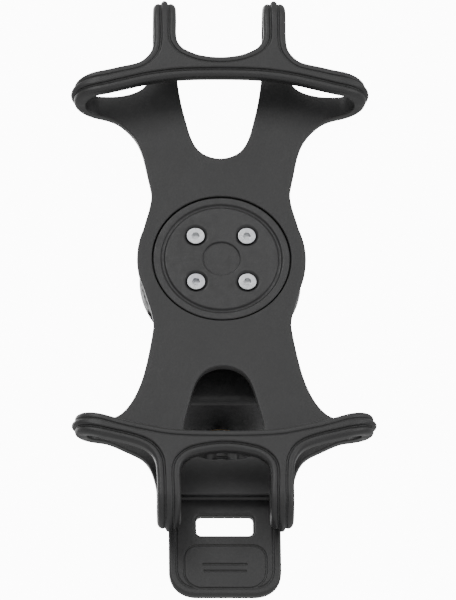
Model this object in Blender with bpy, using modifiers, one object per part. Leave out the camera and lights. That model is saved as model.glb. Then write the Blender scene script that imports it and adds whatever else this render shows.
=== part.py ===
"""Phone handlebar mount: a stretched silicone phone harness on a swivelling handlebar clamp.

Every size below is in millimetres and is turned into metres where a mesh is made.
Row frame: the origin is on the handlebar's axis, +X runs along the bar, +Z is up and -Y faces the rider.
Depths called "behind the phone" are measured from the phone's back face towards the bar, along +Y.
"""

import math

import bmesh
import bpy
from mathutils import Matrix, Vector

MM = 0.001
GAP = 0.3

# The phone that the harness is stretched over, and the bar that the clamp holds.
PHONE_THICKNESS = 7.1
PHONE_HALF_WIDTH = 33.55
PHONE_HALF_HEIGHT = 69.15
PHONE_BACK_Y = -29.0
PHONE_MID_Z = -2.9
BAR_RADIUS = 12.7

# Silicone harness.
SKIN = 3.4
EDGE_RADIUS = PHONE_THICKNESS / 2
WRAP_INSET = 0.05
WRAP_INNER = EDGE_RADIUS + WRAP_INSET
WRAP_OUTER = EDGE_RADIUS + SKIN - WRAP_INSET
WRAP_OVERLAP = 2.0
STRAP_MIDDLE_RADIUS = EDGE_RADIUS + SKIN / 2

# Side straps where they leave the phone's front: the height of their middle, and how steeply they
# climb there and where they reach the back.
SIDE_STRAP_HEIGHT = 5.9
UPPER_STRAP_MIDDLE = 47.65
UPPER_STRAP_SLOPES = (-0.16, -0.10)
LOWER_STRAP_MIDDLE = -47.7
LOWER_STRAP_SLOPES = (0.38, 0.0)
FLAT_HALF_WIDTH = PHONE_HALF_WIDTH - EDGE_RADIUS
FLAT_HALF_HEIGHT = PHONE_HALF_HEIGHT - EDGE_RADIUS
LEG_CENTRE = 13.75
LEG_WIDTH = 5.8
HUB_RADIUS = 21.0
HUB_DEPTH = 4.0
HUB_RECESS_RADIUS = 17.3
HUB_RECESS_DEPTH = 2.0
HUB_HOLE_RADIUS = 13.3

# Pull tab, hanging from a root bar behind the lower legs.
TAB_HALF_WIDTH = 13.4
TAB_FRONT = 3.7
TAB_THICKNESS = 2.5
TAB_TOP = -62.2
TAB_BOTTOM = -87.3
TAB_CORNER = 7.0
TAB_SLOT_HALF_WIDTH = 7.15
TAB_SLOT_TOP = -65.8
TAB_SLOT_BOTTOM = -71.6
TAB_SLOT_CORNER = 1.2
TAB_ROOT_HEIGHT = 5.6
TAB_ROOT_OVERLAP = 0.4

# Swivel: depths behind the phone.
RETAINER_FRONT = 0.2
RETAINER_BACK = 1.7
RETAINER_RADIUS = 17.0
ADAPTER_BOSS_RADIUS = 13.0
ADAPTER_PLATE_RADIUS = 19.0
ADAPTER_PLATE_FRONT = HUB_DEPTH + GAP
ADAPTER_PLATE_BACK = 6.3
NECK_RADIUS = 12.0
NECK_BACK = 8.2
RING_FRONT = 6.7
RING_BACK = 8.1
RING_INNER = 12.4
RING_OUTER = 20.2
FLANGE_FRONT = 8.5
FLANGE_BACK = 10.5
FLANGE_RADIUS = 15.0
POCKET_RADIUS = 15.4
POCKET_MOUTH = 8.4
POCKET_FLOOR = 11.7
WAVE_INNER = 9.5
WAVE_OUTER = 13.5
WAVE_HEIGHT = 0.15
WAVE_THICKNESS = 0.3
WAVE_COUNT = 4

# Countersunk screws of the swivel: four through the retainer plate and four through the socket ring.
SCREW_COUNT = 4
FIRST_SCREW_ANGLE = 45.0
HEAD_SINK = 0.1
HEAD_EDGE = 0.2
SCREW_TIP = 0.3
SOCKET_SHARE = 0.45
SOCKET_DEPTH = 1.0
RETAINER_SCREW_CIRCLE = 9.0
RETAINER_SCREW_RADIUS = 1.25
RETAINER_HEAD_RADIUS = 2.2
RETAINER_SCREW_END = FLANGE_BACK - 0.4
RETAINER_HOLE_RADIUS = RETAINER_SCREW_RADIUS + GAP
RETAINER_HOLE_MOUTH = 2.95
RING_SCREW_CIRCLE = 17.2
RING_SCREW_RADIUS = 1.0
RING_HEAD_RADIUS = 1.6
RING_SCREW_END = 13.4
RING_HOLE_RADIUS = RING_SCREW_RADIUS + GAP
RING_HOLE_MOUTH = 2.3

# Handlebar clamp: y and z from the bar's axis.
LINER_THICKNESS = 1.2
SEAT_RADIUS = BAR_RADIUS + LINER_THICKNESS + GAP
FRAME_HALF_WIDTH = 16.0
FRAME_FRONT = -19.8
FRAME_TOP = 20.4
FRAME_SHOULDER = 6.0
HOOK_ANGLE = 50.0
ARM_TOP = -30.0
ARM_BOTTOM = -35.5
ARM_END = 9.0
BOSS_BACK = -15.0
PLATE_HALF_WIDTH = 15.0
PLATE_FRONT = -SEAT_RADIUS + GAP
PLATE_BACK = 10.0
PLATE_BOTTOM = -23.0
PLATE_SHOULDER = -9.6
INSERT_RADIUS = 4.2
INSERT_FLANGE_RADIUS = 6.0
INSERT_FLANGE_HEIGHT = 1.2

# Clamp screw, a ball-ended M6, and its knob.
SCREW_RADIUS = 3.0
BALL_RADIUS = 3.2
BALL_CENTRE = -19.6
SCREW_NECK_RADIUS = 2.0
SCREW_SHOULDER = -23.9
SCREW_END = -46.0
KNOB_TOP = -39.3
KNOB_BOTTOM = -50.0
KNOB_RADIUS = 11.0
KNOB_FLUTES = 8
KNOB_FLUTE_DEPTH = 0.9
KNOB_ROUNDING = 0.8
CAP_RADIUS = 7.0
CAP_THICKNESS = 1.2
SOCKET_MOUTH_DROP = 1.5
THROUGH = 2.0

# Directions in which an outline is extruded: the columns are the outline's own x, y and depth.
FACING_RIDER = Matrix(((1, 0, 0), (0, 0, -1), (0, 1, 0)))
ALONG_BAR = Matrix(((0, 0, 1), (1, 0, 0), (0, 1, 0)))
UPRIGHT = Matrix.Identity(3)

SMOOTH = "AUTO"
CORNER = "VECTOR"

# Steps around a turned solid, by its size.
ROUND = 48
SMALL_ROUND = 32
PIN_ROUND = 24
HOLE_ROUND = 20
SCREW_ROUND = 16


def clear_scene():
    for thing in list(bpy.data.objects):
        bpy.data.objects.remove(thing, do_unlink=True)


def new_collection(name):
    collection = bpy.data.collections.new(name)
    bpy.context.scene.collection.children.link(collection)
    return collection


def new_material(name, colour, roughness, metallic):
    material = bpy.data.materials.new(name)
    material.use_nodes = True
    shader = material.node_tree.nodes["Principled BSDF"]
    shader.inputs["Base Color"].default_value = (*colour, 1.0)
    shader.inputs["Roughness"].default_value = roughness
    shader.inputs["Metallic"].default_value = metallic
    return material


clear_scene()
PARTS = new_collection("phone_handlebar_mount")
CUTTERS = new_collection("cutters")

SILICONE = new_material("silicone", (0.040, 0.040, 0.042), 0.62, 0.0)
NYLON = new_material("glass_filled_nylon", (0.022, 0.022, 0.023), 0.50, 0.0)
KNOB_PLASTIC = new_material("knob_plastic", (0.030, 0.030, 0.031), 0.42, 0.0)
LINER_RUBBER = new_material("liner_rubber", (0.018, 0.018, 0.018), 0.80, 0.0)
STEEL = new_material("zinc_plated_steel", (0.56, 0.57, 0.58), 0.30, 1.0)
SPRING_STEEL = new_material("spring_steel", (0.35, 0.35, 0.36), 0.35, 1.0)
BRASS = new_material("brass", (0.70, 0.52, 0.24), 0.32, 1.0)


def link(thing, collection):
    for owner in list(thing.users_collection):
        owner.objects.unlink(thing)
    collection.objects.link(thing)


def as_part(thing, material):
    link(thing, PARTS)
    thing.data.materials.clear()
    thing.data.materials.append(material)
    thing.data.shade_smooth()
    thing.data.set_sharp_from_angle(angle=math.radians(35))
    return thing


def as_cutter(thing):
    link(thing, CUTTERS)
    thing.hide_render = True
    thing.display_type = "WIRE"
    return thing


def solid_from_curve(curve):
    """A mesh object with the curve's shape and place. The curve is removed."""
    bpy.context.view_layer.update()
    evaluated = curve.evaluated_get(bpy.context.evaluated_depsgraph_get())
    mesh = bpy.data.meshes.new_from_object(evaluated)
    shape = bmesh.new()
    shape.from_mesh(mesh)
    bmesh.ops.remove_doubles(shape, verts=shape.verts, dist=0.02 * MM)
    bmesh.ops.dissolve_limit(shape, angle_limit=math.radians(0.5), verts=shape.verts, edges=shape.edges)
    bmesh.ops.recalc_face_normals(shape, faces=shape.faces)
    shape.to_mesh(mesh)
    shape.free()
    name = curve.name
    place = curve.matrix_world.copy()
    bpy.data.objects.remove(curve, do_unlink=True)
    solid = bpy.data.objects.new(name, mesh)
    solid.matrix_world = place
    bpy.context.scene.collection.objects.link(solid)
    return solid


def extruded(name, loops, low, high, facing, resolution=3):
    """A plate whose closed outlines are lists of (x, y, handle), from depth low to depth high."""
    data = bpy.data.curves.new(name, "CURVE")
    data.dimensions = "2D"
    data.fill_mode = "BOTH"
    data.extrude = abs(high - low) / 2 * MM
    data.resolution_u = resolution
    for loop in loops:
        if all(handle == CORNER for x, y, handle in loop):
            spline = data.splines.new("POLY")
            spline.points.add(len(loop) - 1)
            spline.use_cyclic_u = True
            for point, (x, y, handle) in zip(spline.points, loop):
                point.co = (x * MM, y * MM, 0.0, 1.0)
            continue
        spline = data.splines.new("BEZIER")
        spline.bezier_points.add(len(loop) - 1)
        spline.use_cyclic_u = True
        for point, (x, y, handle) in zip(spline.bezier_points, loop):
            point.handle_left_type = handle
            point.handle_right_type = handle
            point.co = (x * MM, y * MM, 0.0)
    curve = bpy.data.objects.new(name, data)
    bpy.context.scene.collection.objects.link(curve)
    middle = facing @ Vector((0.0, 0.0, (low + high) / 2 * MM))
    curve.matrix_world = Matrix.Translation(middle) @ facing.to_4x4()
    return solid_from_curve(curve)


def turned(name, profile, facing, centre, steps):
    """A solid of revolution about the facing's depth axis, from (radius, height) points."""
    mesh = bpy.data.meshes.new(name)
    points = [(radius * MM, 0.0, height * MM) for radius, height in profile]
    closed = min(radius for radius, height in profile) > 0.0
    edges = [(i, i + 1) for i in range(len(points) - 1)]
    if closed:
        edges.append((len(points) - 1, 0))
    mesh.from_pydata(points, edges, [])
    solid = bpy.data.objects.new(name, mesh)
    bpy.context.scene.collection.objects.link(solid)
    spin = solid.modifiers.new("turn", "SCREW")
    spin.axis = "Z"
    spin.angle = math.tau
    spin.steps = steps
    spin.render_steps = steps
    spin.use_merge_vertices = True
    spin.merge_threshold = 0.01 * MM
    solid.matrix_world = Matrix.Translation(Vector(centre) * MM) @ facing.to_4x4()
    return solid


def box(name, low, high):
    bpy.ops.mesh.primitive_cube_add(size=1.0)
    solid = bpy.context.object
    solid.name = name
    middle = [(a + b) / 2 * MM for a, b in zip(low, high)]
    size = [(b - a) * MM for a, b in zip(low, high)]
    solid.data.transform(Matrix.Diagonal((*size, 1.0)))
    solid.location = middle
    return solid


def join(solid, other):
    add_boolean(solid, as_cutter(other), "UNION")


def cut(solid, cutter):
    add_boolean(solid, as_cutter(cutter), "DIFFERENCE")


def add_boolean(solid, other, operation):
    modifier = solid.modifiers.new(other.name, "BOOLEAN")
    modifier.operation = operation
    modifier.solver = "EXACT"
    modifier.object = other


def round_edges(solid, width, segments=2):
    modifier = solid.modifiers.new("rounded_edges", "BEVEL")
    modifier.width = width * MM
    modifier.segments = segments
    modifier.limit_method = "ANGLE"
    modifier.angle_limit = math.radians(40)


def arc(centre_x, centre_y, radius, start, end, count):
    """Points along an arc, as corners. The angles are in degrees."""
    points = []
    for i in range(count + 1):
        angle = math.radians(start + (end - start) * i / count)
        x = centre_x + radius * math.cos(angle)
        y = centre_y + radius * math.sin(angle)
        points.append((x, y, CORNER))
    return points


def corners(points):
    return [(x, y, CORNER) for x, y in points]


def mirrored(half):
    """A closed outline from its right half, which runs from one point at x = 0 to another."""
    left = [(-x, y, handle) for x, y, handle in reversed(half[1:-1])]
    return half + left


def beside_phone(outline):
    """Outline heights measured from the phone's middle, moved into the row frame."""
    return [(x, y + PHONE_MID_Z, handle) for x, y, handle in outline]


def rider_plate(name, loops, front, back):
    """A plate facing the rider, between two depths behind the phone's back face."""
    return extruded(name, loops, -PHONE_BACK_Y - back, -PHONE_BACK_Y - front, FACING_RIDER)


def disc(radius, start, end):
    """Profile of a plain disc, given from its top height down, or from its front depth back."""
    return [(0.0, start), (radius, start), (radius, end), (0.0, end)]


def on_swivel(name, profile, steps):
    """A turned solid on the swivel's axis. Its profile is (radius, depth behind the phone)."""
    heights = [(radius, -depth) for radius, depth in profile]
    return turned(name, heights, FACING_RIDER, (0.0, PHONE_BACK_Y, 0.0), steps)


def wrap_outline():
    """Cross-section of a strap that turns around the phone's edge: (outward, towards the rider)."""
    inward = -WRAP_OVERLAP
    outer = arc(0.0, 0.0, WRAP_OUTER, 90, -90, 12)
    inner = arc(0.0, 0.0, WRAP_INNER, -90, 90, 10)
    back_end = corners([(inward, -WRAP_OUTER), (inward, -WRAP_INNER)])
    front_end = corners([(inward, WRAP_INNER), (inward, WRAP_OUTER)])
    return outer + back_end + inner + front_end


def strap_rise(outward, forward, slopes):
    """How far a side strap has climbed on its way from the phone's front round its edge to the back."""
    whole = math.pi * STRAP_MIDDLE_RADIUS
    if outward < 0.0:
        along = outward if forward > 0.0 else whole - outward
    else:
        along = math.atan2(outward, forward) * STRAP_MIDDLE_RADIUS
    first, last = slopes
    return first * along + (last - first) * along**2 / (2 * whole)


def side_wrap(name, side, middle, slopes):
    """Strap around the phone's left (-1) or right (1) edge, climbing as it goes."""
    middle_y = PHONE_BACK_Y - EDGE_RADIUS
    outline = [
        (side * (FLAT_HALF_WIDTH + outward), middle_y - forward, handle)
        for outward, forward, handle in wrap_outline()
    ]
    low = middle - SIDE_STRAP_HEIGHT / 2 + PHONE_MID_Z
    wrap = extruded(name, [outline], low, low + SIDE_STRAP_HEIGHT, UPRIGHT)
    shape = bmesh.new()
    shape.from_mesh(wrap.data)
    bmesh.ops.triangulate(shape, faces=shape.faces)
    for vertex in shape.verts:
        outward = abs(vertex.co.x) / MM - FLAT_HALF_WIDTH
        forward = middle_y - vertex.co.y / MM
        vertex.co.z += strap_rise(outward, forward, slopes) * MM
    shape.to_mesh(wrap.data)
    shape.free()
    return wrap


def leg_wrap(name, side, end):
    """Strap over the phone's top (end 1) or under its bottom (end -1)."""
    middle_y = PHONE_BACK_Y - EDGE_RADIUS
    outline = [
        (middle_y - forward, end * (FLAT_HALF_HEIGHT + outward) + PHONE_MID_Z, handle)
        for outward, forward, handle in wrap_outline()
    ]
    half_width = LEG_WIDTH / 2 - 3 * WRAP_INSET
    centre = side * LEG_CENTRE
    return extruded(name, [outline], centre - half_width, centre + half_width, ALONG_BAR)


def upper_front_outline():
    half = [
        (0.0, 49.0, SMOOTH),
        (10.2, 48.7, SMOOTH),
        (17.9, 47.8, SMOOTH),
        (25.0, 46.4, SMOOTH),
        (FLAT_HALF_WIDTH, 44.6, CORNER),
        (FLAT_HALF_WIDTH, 50.7, CORNER),
        (25.0, 52.1, SMOOTH),
        (20.5, 53.3, SMOOTH),
        (18.5, 54.8, SMOOTH),
        (17.1, 57.0, SMOOTH),
        (16.7, 60.0, SMOOTH),
        (LEG_CENTRE + LEG_WIDTH / 2, FLAT_HALF_HEIGHT, CORNER),
        (LEG_CENTRE - LEG_WIDTH / 2, FLAT_HALF_HEIGHT, CORNER),
        (10.8, 60.2, SMOOTH),
        (9.8, 58.1, SMOOTH),
        (8.5, 57.0, SMOOTH),
        (5.0, 55.5, SMOOTH),
        (0.0, 54.9, SMOOTH),
    ]
    return beside_phone(mirrored(half))


def upper_back_outline():
    half = [
        (0.0, 31.0, SMOOTH),
        (5.5, 33.5, SMOOTH),
        (8.6, 42.0, SMOOTH),
        (10.6, 54.0, SMOOTH),
        (LEG_CENTRE - LEG_WIDTH / 2, FLAT_HALF_HEIGHT, CORNER),
        (LEG_CENTRE + LEG_WIDTH / 2, FLAT_HALF_HEIGHT, CORNER),
        (16.9, 57.0, SMOOTH),
        (18.8, 51.9, SMOOTH),
        (23.5, 49.3, SMOOTH),
        (FLAT_HALF_WIDTH, 48.6, CORNER),
        (FLAT_HALF_WIDTH, 42.5, CORNER),
        (24.5, 40.6, SMOOTH),
        (20.5, 34.5, SMOOTH),
        (18.0, 25.0, SMOOTH),
        (16.0, 14.0, CORNER),
        (0.0, 14.0, CORNER),
    ]
    return beside_phone(mirrored(half))


def lower_front_outline():
    half = [
        (0.0, -49.3, SMOOTH),
        (11.6, -49.0, SMOOTH),
        (19.3, -47.6, SMOOTH),
        (24.5, -46.1, SMOOTH),
        (FLAT_HALF_WIDTH, -44.4, CORNER),
        (FLAT_HALF_WIDTH, -50.9, CORNER),
        (23.1, -52.7, SMOOTH),
        (19.5, -54.2, SMOOTH),
        (17.5, -57.1, SMOOTH),
        (16.9, -60.0, SMOOTH),
        (LEG_CENTRE + LEG_WIDTH / 2, -FLAT_HALF_HEIGHT, CORNER),
        (LEG_CENTRE - LEG_WIDTH / 2, -FLAT_HALF_HEIGHT, CORNER),
        (10.8, -59.4, SMOOTH),
        (9.8, -57.1, SMOOTH),
        (7.2, -55.4, SMOOTH),
        (0.0, -54.3, SMOOTH),
    ]
    return beside_phone(mirrored(half))


def lower_back_outline():
    half = [
        (0.0, -8.0, CORNER),
        (16.0, -8.0, CORNER),
        (18.0, -21.0, SMOOTH),
        (20.5, -32.5, SMOOTH),
        (24.5, -39.2, SMOOTH),
        (FLAT_HALF_WIDTH, -41.5, CORNER),
        (FLAT_HALF_WIDTH, -47.6, CORNER),
        (23.8, -49.6, SMOOTH),
        (19.0, -53.2, SMOOTH),
        (16.9, -58.5, SMOOTH),
        (LEG_CENTRE + LEG_WIDTH / 2, -FLAT_HALF_HEIGHT, CORNER),
        (LEG_CENTRE - LEG_WIDTH / 2, -FLAT_HALF_HEIGHT, CORNER),
        (LEG_CENTRE - LEG_WIDTH / 2, TAB_TOP + GAP, CORNER),
        (0.0, TAB_TOP + GAP, CORNER),
    ]
    return beside_phone(mirrored(half))


def lower_back_window():
    half = [
        (0.0, -27.0, SMOOTH),
        (5.5, -29.5, SMOOTH),
        (8.6, -38.0, SMOOTH),
        (9.9, -46.0, SMOOTH),
        (7.5, -51.0, SMOOTH),
        (0.0, -52.5, SMOOTH),
    ]
    return beside_phone(mirrored(half))


def harness_half(name, front_loops, back_loops, end, strap_middle, strap_slopes):
    """Front band and legs, the straps that turn around the phone's edges, and the back arms."""
    half = rider_plate(name, front_loops, -PHONE_THICKNESS - SKIN, -PHONE_THICKNESS)
    join(half, rider_plate(name + "_back", back_loops, 0.0, SKIN))
    for side in (-1, 1):
        join(half, side_wrap(f"{name}_side_{side}", side, strap_middle, strap_slopes))
        join(half, leg_wrap(f"{name}_leg_{side}", side, end))
    hub_space = disc(HUB_RADIUS + GAP, -GAP, 2 * HUB_DEPTH)
    cut(half, on_swivel(name + "_hub_space", hub_space, ROUND))
    return half


def make_harness():
    front = [upper_front_outline()]
    back = [upper_back_outline()]
    upper = harness_half("harness_upper", front, back, 1, UPPER_STRAP_MIDDLE, UPPER_STRAP_SLOPES)
    as_part(upper, SILICONE)

    front = [lower_front_outline()]
    back = [lower_back_outline(), lower_back_window()]
    lower = harness_half("harness_lower", front, back, -1, LOWER_STRAP_MIDDLE, LOWER_STRAP_SLOPES)
    root_low = TAB_TOP + GAP + WRAP_INSET + PHONE_MID_Z
    root = box(
        "tab_root",
        (-TAB_HALF_WIDTH, PHONE_BACK_Y + SKIN - TAB_ROOT_OVERLAP, root_low),
        (TAB_HALF_WIDTH, PHONE_BACK_Y + TAB_FRONT + TAB_THICKNESS, root_low + TAB_ROOT_HEIGHT),
    )
    join(lower, root)
    as_part(lower, SILICONE)

    hub = on_swivel(
        "harness_hub",
        [
            (HUB_RADIUS, 0.0),
            (HUB_RADIUS, HUB_DEPTH),
            (HUB_HOLE_RADIUS, HUB_DEPTH),
            (HUB_HOLE_RADIUS, HUB_RECESS_DEPTH),
            (HUB_RECESS_RADIUS, HUB_RECESS_DEPTH),
            (HUB_RECESS_RADIUS, 0.0),
        ],
        ROUND,
    )
    as_part(hub, SILICONE)


def make_pull_tab():
    """Tab with its origin on the line where the silicone flexes, along the tab's back face."""
    low_x = TAB_HALF_WIDTH - TAB_CORNER
    low_y = TAB_BOTTOM + TAB_CORNER
    half = corners([(0.0, TAB_TOP), (TAB_HALF_WIDTH, TAB_TOP)])
    half += arc(low_x, low_y, TAB_CORNER, 0, -90, 6)
    half += corners([(0.0, TAB_BOTTOM)])
    slot = []
    slot_x = TAB_SLOT_HALF_WIDTH - TAB_SLOT_CORNER
    high_y = TAB_SLOT_TOP - TAB_SLOT_CORNER
    low_y = TAB_SLOT_BOTTOM + TAB_SLOT_CORNER
    for centre_x, centre_y, start in (
        (slot_x, high_y, 90),
        (slot_x, low_y, 0),
        (-slot_x, low_y, -90),
        (-slot_x, high_y, -180),
    ):
        slot += arc(centre_x, centre_y, TAB_SLOT_CORNER, start, start - 90, 3)
    loops = [beside_phone(mirrored(half)), beside_phone(slot)]
    back = TAB_FRONT + TAB_THICKNESS
    tab = rider_plate("pull_tab", loops, TAB_FRONT, back)
    hinge = Vector((0.0, PHONE_BACK_Y + back, TAB_TOP + GAP / 2 + PHONE_MID_Z)) * MM
    tab.data.transform(Matrix.Translation(-hinge) @ tab.matrix_world)
    tab.matrix_world = Matrix.Translation(hinge)
    as_part(tab, SILICONE)


def circle_places(radius, count, first_angle):
    """(x, z) places on a circle around the swivel's axis."""
    angles = [math.radians(first_angle + 360 * i / count) for i in range(count)]
    return [(radius * math.cos(a), radius * math.sin(a)) for a in angles]


def countersunk_hole(name, place, span, radius, mouth_radius):
    """Cutter for a countersunk hole through a plate whose faces are at the span's two depths."""
    x, z = place
    front, back = span
    cone_end = front + mouth_radius - radius
    depths = [
        (0.0, front - THROUGH),
        (mouth_radius, front - THROUGH),
        (mouth_radius, front),
        (radius, cone_end),
        (radius, back + THROUGH),
        (0.0, back + THROUGH),
    ]
    profile = [(r, -behind) for r, behind in depths]
    return turned(name, profile, FACING_RIDER, (x, PHONE_BACK_Y, z), HOLE_ROUND)


def plain_hole(name, place, span, radius):
    """Cutter for a straight hole through whatever lies between the span's two depths."""
    x, z = place
    front, back = span
    profile = disc(radius, -front + THROUGH, -back - THROUGH)
    return turned(name, profile, FACING_RIDER, (x, PHONE_BACK_Y, z), HOLE_ROUND)


def small_screw(name, place, span, radius, head):
    """Countersunk socket screw facing the rider, between two depths behind the phone."""
    x, z = place
    front, back = span
    reach = head - radius
    profile = [
        (0.0, -front),
        (head, -front),
        (head, -front - HEAD_EDGE),
        (radius, -front - HEAD_EDGE - reach),
        (radius, -back + SCREW_TIP),
        (radius - SCREW_TIP, -back),
        (0.0, -back),
    ]
    screw = turned(name, profile, FACING_RIDER, (x, PHONE_BACK_Y, z), SCREW_ROUND)
    socket_radius = head * SOCKET_SHARE * MM
    bpy.ops.mesh.primitive_cylinder_add(vertices=6, radius=socket_radius, depth=2 * SOCKET_DEPTH * MM)
    socket = bpy.context.object
    socket.name = name + "_socket"
    socket.rotation_euler = (math.radians(90), 0.0, 0.0)
    socket.location = Vector((x, PHONE_BACK_Y + front, z)) * MM
    cut(screw, socket)
    as_part(screw, STEEL)


def make_swivel():
    """Retainer plate, adapter and flange that turn with the harness, and the ring that holds them in."""
    retainer = on_swivel("retainer_plate", disc(RETAINER_RADIUS, RETAINER_FRONT, RETAINER_BACK), ROUND)
    adapter_profile = [
        (0.0, HUB_RECESS_DEPTH),
        (ADAPTER_BOSS_RADIUS, HUB_RECESS_DEPTH),
        (ADAPTER_BOSS_RADIUS, ADAPTER_PLATE_FRONT),
        (ADAPTER_PLATE_RADIUS, ADAPTER_PLATE_FRONT),
        (ADAPTER_PLATE_RADIUS, ADAPTER_PLATE_BACK),
        (NECK_RADIUS, ADAPTER_PLATE_BACK),
        (NECK_RADIUS, NECK_BACK),
        (0.0, NECK_BACK),
    ]
    adapter = on_swivel("swivel_adapter", adapter_profile, ROUND)
    flange = on_swivel("swivel_flange", disc(FLANGE_RADIUS, FLANGE_FRONT, FLANGE_BACK), ROUND)
    places = circle_places(RETAINER_SCREW_CIRCLE, SCREW_COUNT, FIRST_SCREW_ANGLE)
    radius = RETAINER_HOLE_RADIUS
    for number, place in enumerate(places, 1):
        name = f"retainer_hole_{number}"
        span = (RETAINER_FRONT, RETAINER_BACK)
        cut(retainer, countersunk_hole(name, place, span, radius, RETAINER_HOLE_MOUTH))
        cut(adapter, plain_hole(f"adapter_hole_{number}", place, (0.0, NECK_BACK), radius))
        cut(flange, plain_hole(f"flange_hole_{number}", place, (FLANGE_FRONT, FLANGE_BACK), radius))
        name = f"retainer_screw_{number}"
        span = (RETAINER_FRONT + HEAD_SINK, RETAINER_SCREW_END)
        small_screw(name, place, span, RETAINER_SCREW_RADIUS, RETAINER_HEAD_RADIUS)
    as_part(retainer, NYLON)
    as_part(adapter, NYLON)
    as_part(flange, NYLON)

    ring_profile = [
        (RING_OUTER, RING_FRONT),
        (RING_OUTER, RING_BACK),
        (RING_INNER, RING_BACK),
        (RING_INNER, RING_FRONT),
    ]
    ring = on_swivel("socket_ring", ring_profile, ROUND)
    for number, place in enumerate(circle_places(RING_SCREW_CIRCLE, SCREW_COUNT, FIRST_SCREW_ANGLE), 1):
        name = f"ring_hole_{number}"
        cut(ring, countersunk_hole(name, place, (RING_FRONT, RING_BACK), RING_HOLE_RADIUS, RING_HOLE_MOUTH))
        name = f"ring_screw_{number}"
        span = (RING_FRONT + HEAD_SINK, RING_SCREW_END)
        small_screw(name, place, span, RING_SCREW_RADIUS, RING_HEAD_RADIUS)
    as_part(ring, NYLON)


def make_wave_washer():
    """Thin spring ring that presses the swivel flange against the socket ring."""
    shape = bmesh.new()
    for radius in (WAVE_INNER, WAVE_OUTER):
        bmesh.ops.create_circle(shape, segments=36, radius=radius * MM)
    bmesh.ops.bridge_loops(shape, edges=shape.edges)
    for vertex in shape.verts:
        angle = math.atan2(vertex.co.y, vertex.co.x)
        vertex.co.z = WAVE_HEIGHT * math.cos(WAVE_COUNT * angle) * MM
    bmesh.ops.recalc_face_normals(shape, faces=shape.faces)
    mesh = bpy.data.meshes.new("wave_washer")
    shape.to_mesh(mesh)
    shape.free()
    washer = bpy.data.objects.new("wave_washer", mesh)
    bpy.context.scene.collection.objects.link(washer)
    thicken = washer.modifiers.new("thickness", "SOLIDIFY")
    thicken.thickness = WAVE_THICKNESS * MM
    thicken.offset = 0.0
    depth = (FLANGE_BACK + POCKET_FLOOR) / 2
    washer.matrix_world = Matrix.Translation((0.0, (PHONE_BACK_Y + depth) * MM, 0.0)) @ FACING_RIDER.to_4x4()
    as_part(washer, SPRING_STEEL)


def make_clamp_frame():
    """C-shaped body: a spine behind the swivel, a hooked arm over the bar and an arm for the screw."""
    outline = corners([(FRAME_FRONT, ARM_BOTTOM), (ARM_END, ARM_BOTTOM)])
    outline += corners([(ARM_END, ARM_TOP), (-SEAT_RADIUS, ARM_TOP)])
    outline += arc(0.0, 0.0, SEAT_RADIUS, 180, HOOK_ANGLE, 22)
    outline += arc(0.0, 0.0, FRAME_TOP, HOOK_ANGLE, 90, 7)
    outline += arc(FRAME_FRONT + FRAME_SHOULDER, FRAME_TOP - FRAME_SHOULDER, FRAME_SHOULDER, 90, 180, 6)
    frame = extruded("clamp_frame", [outline], -FRAME_HALF_WIDTH, FRAME_HALF_WIDTH, ALONG_BAR)
    boss = disc(RING_OUTER, POCKET_MOUTH, BOSS_BACK - PHONE_BACK_Y)
    join(frame, on_swivel("turntable_boss", boss, ROUND))
    cut(frame, on_swivel("turntable_pocket", disc(POCKET_RADIUS, 0.0, POCKET_FLOOR), ROUND))
    for number, place in enumerate(circle_places(RING_SCREW_CIRCLE, SCREW_COUNT, FIRST_SCREW_ANGLE), 1):
        name = f"frame_hole_{number}"
        span = (POCKET_MOUTH, RING_SCREW_END + GAP - THROUGH)
        cut(frame, plain_hole(name, place, span, RING_HOLE_RADIUS))
    insert_hole = disc(INSERT_RADIUS + GAP, ARM_TOP + THROUGH, ARM_BOTTOM - THROUGH)
    cut(frame, turned("insert_hole", insert_hole, UPRIGHT, (0.0, 0.0, 0.0), SMALL_ROUND))
    as_part(frame, NYLON)


def liner(name, start, end, half_width):
    """Rubber strip lying on an arc of the bar's surface."""
    outline = arc(0.0, 0.0, BAR_RADIUS + LINER_THICKNESS, start, end, 16)
    outline += arc(0.0, 0.0, BAR_RADIUS, end, start, 16)
    as_part(extruded(name, [outline], -half_width, half_width, ALONG_BAR), LINER_RUBBER)


def make_pressure_plate():
    """Block that the screw pushes up against the bar, with a socket for the screw's ball."""
    front_face = [(PLATE_FRONT, PLATE_SHOULDER), (PLATE_FRONT, PLATE_BOTTOM)]
    outline = corners(front_face + [(PLATE_BACK, PLATE_BOTTOM)])
    end = -math.degrees(math.acos(PLATE_BACK / SEAT_RADIUS))
    start = -180 + math.degrees(math.asin(-PLATE_SHOULDER / SEAT_RADIUS))
    outline += arc(0.0, 0.0, SEAT_RADIUS, end, start, 16)
    plate = extruded("pressure_plate", [outline], -PLATE_HALF_WIDTH, PLATE_HALF_WIDTH, ALONG_BAR)
    bpy.ops.mesh.primitive_uv_sphere_add(segments=PIN_ROUND, ring_count=12, radius=(BALL_RADIUS + GAP) * MM)
    socket = bpy.context.object
    socket.name = "ball_socket"
    socket.location = (0.0, 0.0, BALL_CENTRE * MM)
    cut(plate, socket)
    mouth = disc(BALL_RADIUS - GAP, BALL_CENTRE - SOCKET_MOUTH_DROP, PLATE_BOTTOM - THROUGH)
    cut(plate, turned("ball_socket_mouth", mouth, UPRIGHT, (0.0, 0.0, 0.0), PIN_ROUND))
    as_part(plate, NYLON)


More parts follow.
